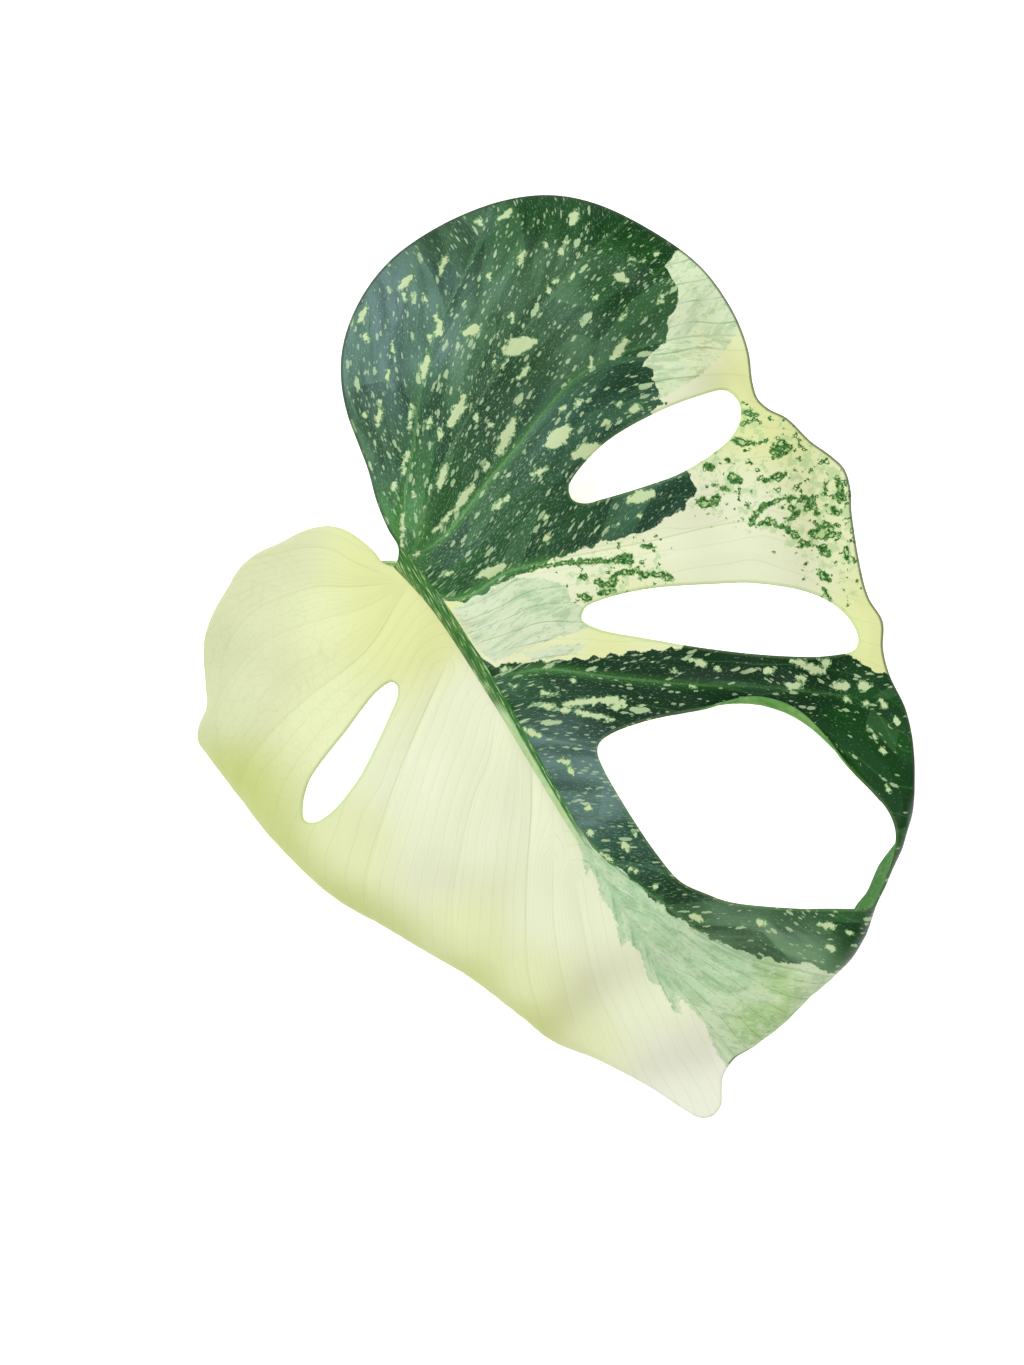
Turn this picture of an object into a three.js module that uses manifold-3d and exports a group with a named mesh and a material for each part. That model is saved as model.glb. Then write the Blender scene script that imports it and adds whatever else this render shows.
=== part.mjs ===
// One picked monstera leaf, lying face up with its margins curled under it.
// It grew as one piece, so it is one solid: the blade, with its four natural holes, the midrib
// along the back of the blade, and the short cut stalk that bends under the pale basal lobe.
//
// Lengths are millimetres. The blade is drawn flat, as if pressed, in its own plan: the stalk joins
// it at (0, 0), the tip is towards -Y, the basal lobes are towards +Y and the green half is towards
// +X. The flat blade is then lifted to its resting heights and its margins are rolled over.
import * as THREE from "three";
import Module from "manifold-3d";
import { mergeVertices } from "three/addons/utils/BufferGeometryUtils.js";

// ---------- driving dimensions ----------
const BLADE_THICKNESS = 0.8;
const MESH_STEP = 5.4;
const FINE_STEP = 2.4;
const LIP_STEP = 1.8;
const RIB_STEP = 4;
const RIB_ROWS = [-1, -0.6, 0, 0.6, 1]; // rows of points across the midrib, in half widths
const NORMAL_STEP = 0.05;
const HEIGHT_REACH = 13; // how far a height mark's influence spreads
const MOST_ROLL = THREE.MathUtils.degToRad(175);
const STALK_SIDES = 14;
const STALK_RINGS = 17;

// The margin, clockwise from the notch where the stalk joins. Both lower margins are drawn at their
// full width, with the strips that later roll out of sight.
const MARGIN = [
  [-0.5, -1], [2.4, 2], [2.5, 7], [3.3, 13.5], [5, 20.5], [6, 27], [7, 33.3], [9.2, 40],
  [12.8, 46.2], [18.4, 51.8], [26, 56.4], [35, 59.3], [46.5, 60.2], [59.8, 58.3], [69.6, 54.5],
  [77.3, 48.2], [85.8, 36], [90.8, 24.7], [92.3, 12], [91, 3], [88.2, -4], [87.5, -7.5],
  [88.5, -10.8], [91, -14.5], [93.2, -21.5], [95.6, -26.5], [96.8, -30.5], [95.8, -35],
  [93.2, -40], [89, -51], [87.2, -58], [87.2, -64], [84.2, -69.3], [82.6, -75], [82, -83],
  [80.2, -89], [78, -94], [75.5, -99.5], [73.3, -105], [71.2, -110.5], [69, -115],
  [66.5, -118.5], [63.6, -120.8], [60.9, -122.8], [58.3, -125.7], [53, -129.5],
  [45, -133.8], [35, -136.6], [27, -136.2], [20, -133.9], [15, -132], [11.8, -131.9],
  [9.4, -132.9], [7, -134.7], [5.4, -137.2], [3.6, -140],
  [1, -141], [-1.4, -140.1], [-3.4, -137.2], [-8.2, -128], [-13.9, -119.3], [-23.5, -109.5],
  [-30.5, -101.5], [-38, -91.5], [-46, -80.5], [-56, -64.5], [-62.5, -49], [-65.5, -33],
  [-65.3, -23], [-62, -15.5], [-56, -10.5], [-51.5, -7.5], [-49.3, -3], [-46.2, 3.5],
  [-44, 6.5], [-40.3, 9.7], [-35, 12.9], [-30.3, 15.6], [-25.3, 16.5], [-20, 16], [-15, 15.8],
  [-11.3, 15], [-8.6, 13.7], [-6.4, 11.7], [-4.5, 8.4], [-3, 4.2], [-2.4, 1],
];

// The natural holes. The widest one's long edges run out over the roll and up onto the lip.
const HOLES = {
  upper: [
    [82.5, -2.5], [83.8, -6], [82.5, -9.5], [79.5, -11.8], [75.5, -13.2], [64.5, -14],
    [57.5, -13], [46, -10.5], [42.5, -9.5], [40.4, -7.3], [41, -4.5], [43.5, -2.7], [53, 0.3],
    [65, 0.7], [76, -0.6],
  ],
  middle: [
    [29.3, -31], [31.5, -29], [35, -29.2], [45, -32], [59, -38.5], [66.5, -42.5],
    [76.5, -50.5], [80.5, -56.5], [81.5, -61.5], [80.8, -65], [78.8, -66.6], [72.5, -64.7],
    [62.5, -59], [50.5, -50.5], [40.5, -42.5], [31, -34.3],
  ],
  wide: [
    [18, -58], [19.5, -56.3], [23, -55.8], [30, -56.9], [37, -59], [42.5, -61.2],
    [46.8, -64], [51.6, -69], [55.7, -74.6], [60.2, -80.6], [64.3, -88], [66.8, -95],
    [67.8, -101], [67.1, -106], [65.2, -110.3], [62.4, -113.8], [59.7, -116.4],
    [57.7, -118.5], [56.2, -119.1], [54.2, -118.2], [50.2, -115.8], [45, -112.7],
    [39.5, -109.5], [27.5, -101], [23.5, -96.5], [20, -91.5], [18.3, -83], [17.4, -70],
    [17.4, -61.5],
  ],
  pale_slot: [
    [-13.2, -22.5], [-12.5, -24], [-13.5, -26], [-16.5, -28.5], [-25.5, -35], [-30.5, -38],
    [-39, -41.2], [-43.5, -41.2], [-45, -39.5], [-44, -37], [-42, -34.5], [-39, -32],
    [-27.5, -27], [-17, -22.6],
  ],
};

// Heights of the blade above the surface it lies on, as [x, y, height] marks seen from above.
const HEIGHT_MARKS = [
  [0, 0, 15], [5, -30, 15.5], [7, -60, 17], [7, -90, 17.5], [8, -115, 14], [1, -138, 3],
  [8, 28, 9], [20, 20, 16], [35, 30, 18.5], [25, 50, 8], [48, 57, 3], [50, 40, 13],
  [71, 50, 2], [65, 25, 15], [86, 34, 2], [91, 10, 3], [75, 10, 11], [45, 5, 16],
  [60, -8, 13.5], [88, -8, 5], [95, -30, 2], [75, -30, 10], [50, -25, 14], [88, -52, 5],
  [83, -75, 8], [60, -55, 14], [40, -45, 16], [75, -93, 11], [60, -108, 11.5],
  [45, -120, 12], [25, -128, 11], [20, -75, 19], [20, -95, 19], [36, -110, 16],
  [-15, -15, 17], [-30, -5, 14.5], [-27, 14, 9], [-45, 3, 9.5], [-14, 12, 12], [-7, 6, 15.5],
  [-30, -40, 19], [-15, -60, 20.5], [-10, -90, 19], [-5, -115, 13], [-46, -20, 15.5],
  [-44, -45, 15.5], [-30, -72, 15], [-23, -90, 13.5], [-13, -117, 6], [-5, -131, 3.5],
];

// Lines over which the blade rolls: [x, y, radius] points, outside being to the left of the line's
// direction of travel. bend is -1 where the margin rolls down and under, and 1 where it rolls up.
const ROLLS = [
  {
    bend: -1, // the pale half's margin
    line: [
      [-56, 34, 9], [-50, -2, 9], [-48.7, -10, 9], [-46.5, -24, 9], [-43.5, -42, 9],
      [-38, -56.5, 9], [-29, -74, 8], [-23, -87.5, 6.6], [-19.8, -99, 5.2], [-18.5, -107, 3.5],
      [-12.5, -117.5, 2], [-4, -135, 2], [4, -160, 2],
    ],
    outside: -1,
  },
  {
    bend: -1, // the green half's margin, past the narrow strip beside the wide hole
    line: [
      [140, -48, 5], [85, -88.5, 5], [68, -101.6, 5], [51.2, -114.2, 5], [40, -121.1, 5],
      [31.2, -122.9, 5], [22.4, -125.9, 4.5], [14.5, -129, 3.4], [10.5, -131.5, 3],
      [8, -140, 3], [8, -160, 3],
    ],
    outside: 1,
  },
  {
    bend: 1, // the lip on the wide hole's upper edge, which turns its paler back to the light
    line: [
      [10, -72, 1.6], [22, -62, 1.6], [30, -58.3, 1.6], [37, -58.9, 1.6], [43, -59.4, 1.6],
      [48, -60.8, 1.6], [54.5, -64.7, 1.6], [59.8, -70.8, 1.6], [64, -78.8, 1.6],
      [66.6, -88, 1.6], [67.8, -96, 1.6], [68.6, -103, 1.6], [70, -114, 1.6],
    ],
    outside: -1,
    within: { x: 52, y: -77, reach: 26 },
  },
];

// The midrib stands out from the back of the blade as a ridge: [x, y, half width] from the notch to
// near the tip. It stands about as far out as it is wide, and fades at both ends.
const MIDRIB = [
  [2, -5, 2.6], [3, -10, 2.6], [5, -25, 2.4], [6.2, -42, 2.1], [7, -60, 1.9], [7, -78, 1.7],
  [6.2, -95, 1.5], [7.2, -108, 1.4], [8.8, -122, 1.3],
];
const RIB_FADE = { notch: 3, tip: 70 };

// The stalk grows on from inside the midrib: [x, y, height of its centre, radius], to its cut end.
const STALK = [
  [3.9, -13.5, 13.4, 1.2], [2.2, -7.5, 12.6, 2], [-0.5, -2.6, 11.6, 2.5], [-5, 0, 9.6, 2.6],
  [-12, 2, 6.6, 2.7], [-21, 3, 4.2, 2.6], [-31, 3.6, 3, 2.6], [-38, 3.8, 2.8, 2.6],
];

// ---------- curves ----------
const curveOf = (points, closed) =>
  new THREE.CatmullRomCurve3(
    points.map(([x, y, z = 0]) => new THREE.Vector3(x, y, z)),
    closed,
    "centripetal",
  );

// A line as points about a millimetre apart, with its third number kept in z.
function samplesOf(line) {
  const curve = curveOf(line, false);
  return curve.getSpacedPoints(Math.ceil(curve.getLength()));
}

for (const roll of ROLLS) roll.samples = samplesOf(roll.line);
const ribSamples = samplesOf(MIDRIB);

// The place on a sampled line nearest to (x, y): how far off it is, where it is, the line's third
// number there, how much of the line it has passed, and which side of the line (x, y) lies on.
function nearestOn(samples, x, y) {
  let best = { far: Infinity };
  for (let i = 1; i < samples.length; i++) {
    const a = samples[i - 1];
    const b = samples[i];
    const along = { x: b.x - a.x, y: b.y - a.y };
    const square = along.x ** 2 + along.y ** 2;
    const share = ((x - a.x) * along.x + (y - a.y) * along.y) / square;
    const t = THREE.MathUtils.clamp(share, 0, 1);
    const foot = { x: a.x + t * along.x, y: a.y + t * along.y };
    const far = Math.hypot(x - foot.x, y - foot.y);
    if (far >= best.far) continue;
    const side = along.x * (y - a.y) - along.y * (x - a.x);
    best = { far, foot, size: a.z + t * (b.z - a.z), passed: i - 1 + t, side };
  }
  return best;
}

// The rolls that reach (x, y), each with the nearest place on its line.
function* rollsAt(x, y) {
  for (const roll of ROLLS) {
    const area = roll.within;
    if (area && Math.hypot(x - area.x, y - area.y) > area.reach) continue;
    const near = nearestOn(roll.samples, x, y);
    yield { bend: roll.bend, radius: near.size, out: near.side * roll.outside, ...near };
  }
}

// ---------- from the flat blade to its resting shape ----------
function restingHeight(x, y) {
  let sum = 0;
  let weights = 0;
  for (const [markX, markY, height] of HEIGHT_MARKS) {
    const square = (x - markX) ** 2 + (y - markY) ** 2;
    const weight = 1 / (square + HEIGHT_REACH ** 2) ** 2.5;
    sum += weight * height;
    weights += weight;
  }
  return sum / weights;
}

// Where a point of the flat blade's middle surface lies when the leaf rests.
function rest(flatX, flatY) {
  let x = flatX;
  let y = flatY;
  let lift = 0;
  for (const { bend, radius, out, far, foot } of rollsAt(x, y)) {
    if (out <= 0 || far < 1e-6) continue;
    const angle = Math.min(far / radius, MOST_ROLL);
    const past = far - angle * radius;
    const reach = radius * Math.sin(angle) + past * Math.cos(angle);
    lift += bend * (radius * (1 - Math.cos(angle)) + past * Math.sin(angle));
    x = foot.x + ((x - foot.x) / far) * reach;
    y = foot.y + ((y - foot.y) / far) * reach;
  }
  return new THREE.Vector3(x, y, restingHeight(x, y) + lift);
}

function restingNormal(x, y) {
  const h = NORMAL_STEP;
  const alongX = rest(x + h, y).sub(rest(x - h, y));
  const alongY = rest(x, y + h).sub(rest(x, y - h));
  return alongX.cross(alongY).normalize();
}

// How far the midrib stands out from the back of the blade.
function ribHeight(x, y) {
  const { far, size, passed } = nearestOn(ribSamples, x, y);
  if (far > 0.999 * size) return 0;
  const left = ribSamples.length - 1 - passed;
  const fade = Math.min(1, passed / RIB_FADE.notch) * Math.min(1, left / RIB_FADE.tip);
  return 1.6 * size * fade * Math.sqrt(1 - (far / size) ** 2);
}

// ---------- triangles over the flat blade ----------
// The mesh is finer where the blade bends sharply.
function meshStep(x, y) {
  let step = MESH_STEP;
  for (const { radius, out, far } of rollsAt(x, y)) {
    const isClose = out > 0 ? far < 3.4 * radius : far < 0.6 * radius;
    if (isClose) step = Math.min(step, radius < 2 ? LIP_STEP : FINE_STEP + radius / 7);
  }
  return step;
}

function sampledLoop(points) {
  const curve = curveOf(points, true);
  const fine = curve.getSpacedPoints(1200).slice(0, -1);
  const loop = [];
  let walked = Infinity;
  let last = fine[fine.length - 1];
  for (const p of fine) {
    walked += p.distanceTo(last);
    last = p;
    if (walked < 0.8 * meshStep(p.x, p.y)) continue;
    loop.push([p.x, p.y]);
    walked = 0;
  }
  return loop;
}

function isInside(loop, x, y) {
  let inside = false;
  for (let i = 0, j = loop.length - 1; i < loop.length; j = i++) {
    const [xi, yi] = loop[i];
    const [xj, yj] = loop[j];
    const crosses = yi > y !== yj > y && x < ((xj - xi) * (y - yi)) / (yj - yi) + xi;
    if (crosses) inside = !inside;
  }
  return inside;
}

const margin = sampledLoop(MARGIN);
const holes = Object.values(HOLES).map(sampledLoop);
const isBlade = (x, y) => isInside(margin, x, y) && !holes.some((hole) => isInside(hole, x, y));

// Rows of points along the midrib, so that its ridge has clean edges.
function ribPoints() {
  const curve = curveOf(MIDRIB, false);
  const count = Math.round(curve.getLength() / RIB_STEP);
  const points = [];
  for (let i = 0; i <= count; i++) {
    const centre = curve.getPointAt(i / count);
    const along = curve.getTangentAt(i / count);
    const size = Math.hypot(along.x, along.y);
    for (const row of RIB_ROWS) {
      const out = (row * centre.z) / size;
      points.push([centre.x - out * along.y, centre.y + out * along.x]);
    }
  }
  return points;
}

// The loops' and the midrib's points, and others that keep the local step from them.
function bladePoints() {
  const points = [margin, ...holes, ribPoints()].flat();
  const box = new THREE.Box2().setFromPoints(points.map(([x, y]) => new THREE.Vector2(x, y)));
  const grid = LIP_STEP * 0.75;
  for (let row = 0, y = box.min.y; y < box.max.y; y += grid * 0.866, row++) {
    for (let x = box.min.x + (row % 2) * grid * 0.5; x < box.max.x; x += grid) {
      // A small regular shake keeps four points off one circle.
      const px = x + 0.07 * Math.sin(12.9 * x + 78.2 * y);
      const py = y + 0.07 * Math.sin(39.3 * x + 11.1 * y);
      if (!isBlade(px, py)) continue;
      const step = meshStep(px, py);
      const room = (q) => Math.hypot(px - q[0], py - q[1]) > step * 0.82;
      if (points.every(room)) points.push([px, py]);
    }
  }
  return points;
}

// Delaunay triangles by adding one point at a time (Bowyer and Watson's method).
function delaunay(points) {
  const far = 1e4;
  const all = [...points, [-far, -far], [far, -far], [0, far]];
  const withCircle = (a, b, c) => {
    const [ax, ay] = all[a];
    const [bx, by] = [all[b][0] - ax, all[b][1] - ay];
    const [cx, cy] = [all[c][0] - ax, all[c][1] - ay];
    const twice = 2 * (bx * cy - by * cx);
    const ux = (cy * (bx * bx + by * by) - by * (cx * cx + cy * cy)) / twice;
    const uy = (bx * (cx * cx + cy * cy) - cx * (bx * bx + by * by)) / twice;
    return { corners: [a, b, c], x: ax + ux, y: ay + uy, square: ux * ux + uy * uy };
  };
  const n = points.length;
  let triangles = [withCircle(n, n + 1, n + 2)];
  points.forEach(([x, y], i) => {
    const rim = new Map();
    triangles = triangles.filter((t) => {
      if ((t.x - x) ** 2 + (t.y - y) ** 2 >= t.square) return true;
      t.corners.forEach((a, k) => {
        const b = t.corners[(k + 1) % 3];
        if (!rim.delete(b + "," + a)) rim.set(a + "," + b, [a, b]);
      });
      return false;
    });
    for (const [a, b] of rim.values()) triangles.push(withCircle(a, b, i));
  });
  return triangles.map((t) => t.corners).filter((t) => t.every((corner) => corner < n));
}

// ---------- solids ----------
function bladeGeometry() {
  const points = bladePoints();
  const n = points.length;
  const middle = (t, axis) => t.reduce((sum, corner) => sum + points[corner][axis], 0) / 3;
  const faces = delaunay(points).filter((t) => isBlade(middle(t, 0), middle(t, 1)));
  const half = BLADE_THICKNESS / 2;
  const face = points.map(([x, y]) => rest(x, y).addScaledVector(restingNormal(x, y), half));
  const back = points.map(([x, y]) =>
    rest(x, y).addScaledVector(restingNormal(x, y), -half - ribHeight(x, y)),
  );
  const position = [...face, ...back].flatMap((p) => p.toArray());
  const index = [];
  const edges = new Map();
  for (const [a, b, c] of faces) {
    index.push(a, b, c, n + a, n + c, n + b);
    for (const [p, q] of [[a, b], [b, c], [c, a]]) {
      if (!edges.delete(q + "," + p)) edges.set(p + "," + q, [p, q]);
    }
  }
  for (const [p, q] of edges.values()) index.push(p, n + p, n + q, p, n + q, q);
  const geometry = new THREE.BufferGeometry();
  geometry.setAttribute("position", new THREE.Float32BufferAttribute(position, 3));
  geometry.setIndex(index);
  return geometry;
}

// A round rod from inside the midrib to the cut end.
function stalkGeometry() {
  const path = curveOf(STALK, false);
  const radii = STALK.map((p) => p[3]);
  const radiusAt = (t) => {
    const place = Math.min(t * (radii.length - 1), radii.length - 1.001);
    const i = Math.floor(place);
    return THREE.MathUtils.lerp(radii[i], radii[i + 1], place - i);
  };
  const frames = path.computeFrenetFrames(STALK_RINGS, false);
  const geometry = new THREE.CylinderGeometry(1, 1, 1, STALK_SIDES, STALK_RINGS);
  const position = geometry.getAttribute("position");
  for (let i = 0; i < position.count; i++) {
    const ring = Math.round((0.5 - position.getY(i)) * STALK_RINGS);
    const t = path.getUtoTmapping(ring / STALK_RINGS);
    const radius = radiusAt(t);
    const p = path.getPoint(t);
    p.addScaledVector(frames.normals[ring], radius * position.getZ(i));
    p.addScaledVector(frames.binormals[ring], radius * position.getX(i));
    position.setXYZ(i, p.x, p.y, p.z);
  }
  return geometry;
}

const wasm = await Module();
wasm.setup();

function solidFrom(geometry) {
  for (const name of ["normal", "uv"]) geometry.deleteAttribute(name);
  const merged = mergeVertices(geometry, 1e-4);
  const vertProperties = merged.getAttribute("position").array;
  const triVerts = new Uint32Array(merged.index.array);
  return new wasm.Manifold(new wasm.Mesh({ numProp: 3, vertProperties, triVerts }));
}

function geometryFrom(solid) {
  const { vertProperties, triVerts } = solid.getMesh();
  const geometry = new THREE.BufferGeometry();
  geometry.setAttribute("position", new THREE.BufferAttribute(vertProperties, 3));
  geometry.setIndex(new THREE.BufferAttribute(triVerts, 1));
  return geometry;
}

// ---------- the leaf ----------
const leafSolid = solidFrom(bladeGeometry()).add(solidFrom(stalkGeometry()));
const leafGeometry = geometryFrom(leafSolid);
leafGeometry.computeVertexNormals();
leafGeometry.computeBoundingBox();

const leaf = new THREE.Mesh(
  leafGeometry,
  new THREE.MeshStandardMaterial({ color: 0x6f9a63, roughness: 0.45, metalness: 0 }),
);
leaf.name = "monstera_leaf";

// The part's origin is under the middle of the leaf, on the surface it lies on.
const box = leafGeometry.boundingBox;
leaf.position.set(-(box.min.x + box.max.x) / 2, -(box.min.y + box.max.y) / 2, -box.min.z);

const group = new THREE.Group();
group.add(leaf);

export default group;
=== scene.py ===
"""A picked, variegated monstera leaf lying face up, seen from above.

Plan lengths are millimetres. The blade is drawn flat, as if pressed: the stalk joins it at (0, 0),
the tip is towards -Y, the basal lobes are towards +Y and the green half is towards +X. rest() then
lifts the flat blade to its resting heights and rolls its margins over, as in the CAD part.
"""

import math

import bpy
import numpy as np
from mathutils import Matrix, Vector
from mathutils.geometry import delaunay_2d_cdt


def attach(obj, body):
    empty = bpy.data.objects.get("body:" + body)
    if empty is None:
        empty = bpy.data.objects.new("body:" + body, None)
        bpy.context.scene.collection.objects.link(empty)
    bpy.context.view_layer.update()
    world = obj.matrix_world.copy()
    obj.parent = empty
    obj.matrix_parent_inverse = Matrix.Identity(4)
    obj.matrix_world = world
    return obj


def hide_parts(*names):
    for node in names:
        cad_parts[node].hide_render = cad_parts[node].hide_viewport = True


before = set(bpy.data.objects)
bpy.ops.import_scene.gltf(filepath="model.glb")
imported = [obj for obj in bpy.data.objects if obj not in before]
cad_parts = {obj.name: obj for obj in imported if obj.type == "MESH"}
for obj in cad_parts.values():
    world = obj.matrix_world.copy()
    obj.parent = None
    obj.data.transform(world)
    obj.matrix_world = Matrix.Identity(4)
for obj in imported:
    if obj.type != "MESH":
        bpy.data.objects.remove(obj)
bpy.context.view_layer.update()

MM = 0.001
NODE = "monstera_leaf"
PLAN_TO_ROW = (-19.512, 40.13, -0.243)  # mm, from the plan's frame to the part's

# ---------- sizes, in mm ----------
FACE_LIFT = 0.3  # of the upper skin above the blade's middle surface
BACK_DROP = 0.3
EDGE_ROUND = 0.22
SKIN_STEP = 0.56
BACK_STEP = 0.95
RIM_STEP = 0.6
HEIGHT_REACH = 13
MOST_ROLL = math.radians(175)
LOWEST = 0.3  # of any point, in the plan's frame

# ---------- the flat outline ----------
MARGIN = [
    (-0.5, -1), (2.4, 2), (2.5, 7), (3.3, 13.5), (5, 20.5), (6, 27), (7, 33.3), (9.2, 40),
    (12.8, 46.2), (18.4, 51.8), (26, 56.4), (35, 59.3), (46.5, 60.2), (59.8, 58.3), (69.6, 54.5),
    (77.3, 48.2), (85.8, 36), (90.8, 24.7), (92.3, 12), (91, 3), (88.2, -4), (87.5, -7.5),
    (88.5, -10.8), (91, -14.5), (93.2, -21.5), (95.6, -26.5), (96.8, -30.5), (95.8, -35),
    (93.2, -40), (89, -51), (87.2, -58), (87.2, -64), (84.2, -69.3), (82.6, -75), (82, -83),
    (80.2, -89), (78, -94), (75.5, -99.5), (73.3, -105), (71.2, -110.5), (69, -115),
    (66.5, -118.5), (63.6, -120.8), (60.9, -122.8), (58.3, -125.7), (53, -129.5),
    (45, -133.8), (35, -136.6), (27, -136.2), (20, -133.9), (15, -132), (11.8, -131.9),
    (9.4, -132.9), (7, -134.7), (5.4, -137.2), (3.6, -140), (1, -141), (-1.4, -140.1),
    (-3.4, -137.2), (-8.2, -128),
    (-13.9, -119.3), (-23.5, -109.5), (-30.5, -101.5), (-38, -91.5), (-46, -80.5),
    (-56, -64.5), (-62.5, -49), (-65.5, -33), (-65.3, -23), (-62, -15.5), (-56, -10.5),
    (-51.5, -7.5), (-49.3, -3), (-46.2, 3.5), (-44, 6.5), (-40.3, 9.7), (-35, 12.9),
    (-30.3, 15.6), (-25.3, 16.5), (-20, 16), (-15, 15.8), (-11.3, 15), (-8.6, 13.7),
    (-6.4, 11.7), (-4.5, 8.4), (-3, 4.2), (-2.4, 1),
]
HOLES = {
    "upper": [
        (82.5, -2.5), (83.8, -6), (82.5, -9.5), (79.5, -11.8), (75.5, -13.2), (64.5, -14),
        (57.5, -13), (46, -10.5), (42.5, -9.5), (40.4, -7.3), (41, -4.5), (43.5, -2.7),
        (53, 0.3), (65, 0.7), (76, -0.6),
    ],
    "middle": [
        (29.3, -31), (31.5, -29), (35, -29.2), (45, -32), (59, -38.5), (66.5, -42.5),
        (76.5, -50.5), (80.5, -56.5), (81.5, -61.5), (80.8, -65), (78.8, -66.6), (72.5, -64.7),
        (62.5, -59), (50.5, -50.5), (40.5, -42.5), (31, -34.3),
    ],
    "wide": [
        (18, -58), (19.5, -56.3), (23, -55.8), (30, -56.9), (37, -59), (42.5, -61.2),
        (46.8, -64), (51.6, -69), (55.7, -74.6), (60.2, -80.6), (64.3, -88), (66.8, -95),
        (67.8, -101), (67.1, -106), (65.2, -110.3), (62.4, -113.8), (59.7, -116.4),
        (57.7, -118.5), (56.2, -119.1), (54.2, -118.2), (50.2, -115.8), (45, -112.7),
        (39.5, -109.5), (27.5, -101), (23.5, -96.5), (20, -91.5), (18.3, -83), (17.4, -70),
        (17.4, -61.5),
    ],
    "pale_slot": [
        (-13.2, -22.5), (-12.5, -24), (-13.5, -26), (-16.5, -28.5), (-25.5, -35),
        (-30.5, -38), (-39, -41.2), (-43.5, -41.2), (-45, -39.5), (-44, -37), (-42, -34.5),
        (-39, -32), (-27.5, -27), (-17, -22.6),
    ],
}

# ---------- how it rests ----------
# Heights above the surface as (x, y, height) marks, seen from above.
HEIGHT_MARKS = [
    (0, 0, 15), (5, -30, 15.5), (7, -60, 17), (7, -90, 17.5), (8, -115, 14), (1, -138, 3),
    (8, 28, 9), (20, 20, 16), (35, 30, 18.5), (25, 50, 8), (48, 57, 3), (50, 40, 13),
    (71, 50, 2), (65, 25, 15), (86, 34, 2), (91, 10, 3), (75, 10, 11), (45, 5, 16),
    (60, -8, 13.5), (88, -8, 5), (95, -30, 2), (75, -30, 10), (50, -25, 14), (88, -52, 5),
    (83, -75, 8), (60, -55, 14), (40, -45, 16), (75, -93, 11), (60, -108, 11.5),
    (45, -120, 12), (25, -128, 11), (20, -75, 19), (20, -95, 19), (36, -110, 16),
    (-15, -15, 17), (-30, -5, 14.5), (-27, 14, 9), (-45, 3, 9.5), (-14, 12, 12), (-7, 6, 15.5),
    (-30, -40, 19), (-15, -60, 20.5), (-10, -90, 19), (-5, -115, 13), (-46, -20, 15.5),
    (-44, -45, 15.5), (-30, -72, 15), (-23, -90, 13.5), (-13, -117, 6), (-5, -131, 3.5),
]
# Lines over which the blade rolls, as (x, y, radius). bend is -1 for down and under, 1 for up.
# outside is 1 where the rolled side is to the left of the line's direction, and -1 to its right.
ROLLS = [
    {
        "bend": -1, "outside": -1,
        "line": [
            (-56, 34, 9), (-50, -2, 9), (-48.7, -10, 9), (-46.5, -24, 9), (-43.5, -42, 9),
            (-38, -56.5, 9), (-29, -74, 8), (-23, -87.5, 6.6), (-19.8, -99, 5.2),
            (-18.5, -107, 3.5), (-12.5, -117.5, 2), (-4, -135, 2), (4, -160, 2),
        ],
    },
    {
        "bend": -1, "outside": 1,
        "line": [
            (140, -48, 5), (85, -88.5, 5), (68, -101.6, 5), (51.2, -114.2, 5),
            (40, -121.1, 5), (31.2, -122.9, 5), (22.4, -125.9, 4.5), (14.5, -129, 3.4),
            (10.5, -131.5, 3), (8, -140, 3), (8, -160, 3),
        ],
    },
    {
        "bend": 1, "outside": -1, "within": (52, -77, 26),
        "line": [
            (10, -72, 1.6), (22, -62, 1.6), (30, -58.3, 1.6), (37, -58.9, 1.6),
            (43, -59.4, 1.6), (48, -60.8, 1.6), (54.5, -64.7, 1.6), (59.8, -70.8, 1.6),
            (64, -78.8, 1.6), (66.6, -88, 1.6), (67.8, -96, 1.6), (68.6, -103, 1.6),
            (70, -114, 1.6),
        ],
    },
]

# ---------- veins ----------
# The midrib as (x, y, half width), from the notch to near the tip.
MIDRIB = [
    (1, 1, 2.2), (3.5, -12, 1.7), (5, -35, 1.5), (5.5, -60, 1.2), (6.5, -95, 0.8),
    (9.5, -131, 0.5),
]
# The green half's lateral veins as (x, y) lines out from the midrib, in order round the leaf.
# The ones with no width are only the run of the finer veins between.
GREEN_VEINS = [
    (0, [(0.5, 1), (2, 10), (5, 27), (9, 42), (16, 56)]),
    (0.7, [(3.5, 2), (9, 11.5), (16, 20), (22.5, 28.5), (33.5, 39.5), (47, 50), (56, 58)]),
    (0, [(4.5, 0), (18, 12), (34, 22), (52, 31), (70, 38), (88, 43)]),
    (1, [
        (5, -1.5), (13.5, 0), (27, 5.5), (35, 8.5), (43.5, 12), (54, 15.5), (65.5, 15.5),
        (81, 11.5), (95, 4.5),
    ]),
    (1, [
        (4, -9), (5.5, -12), (8, -13.8), (11.5, -14.5), (16, -14.3), (20, -14), (28, -16),
        (40.5, -20), (51, -23.5), (71.5, -30), (82, -38), (92, -54),
    ]),
    (0.8, [
        (7, -33), (16, -36), (21.5, -39.5), (28, -44.5), (41.5, -54), (60, -65.5),
        (72.5, -75.5), (80, -90),
    ]),
    (0.6, [
        (6.5, -69.5), (7.5, -76), (10, -83.5), (14, -92.5), (20.5, -107), (26, -114.5),
        (35.5, -123.5), (48, -136),
    ]),
    (0, [(6.6, -100), (8, -112), (10, -124), (13, -138)]),
]
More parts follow.
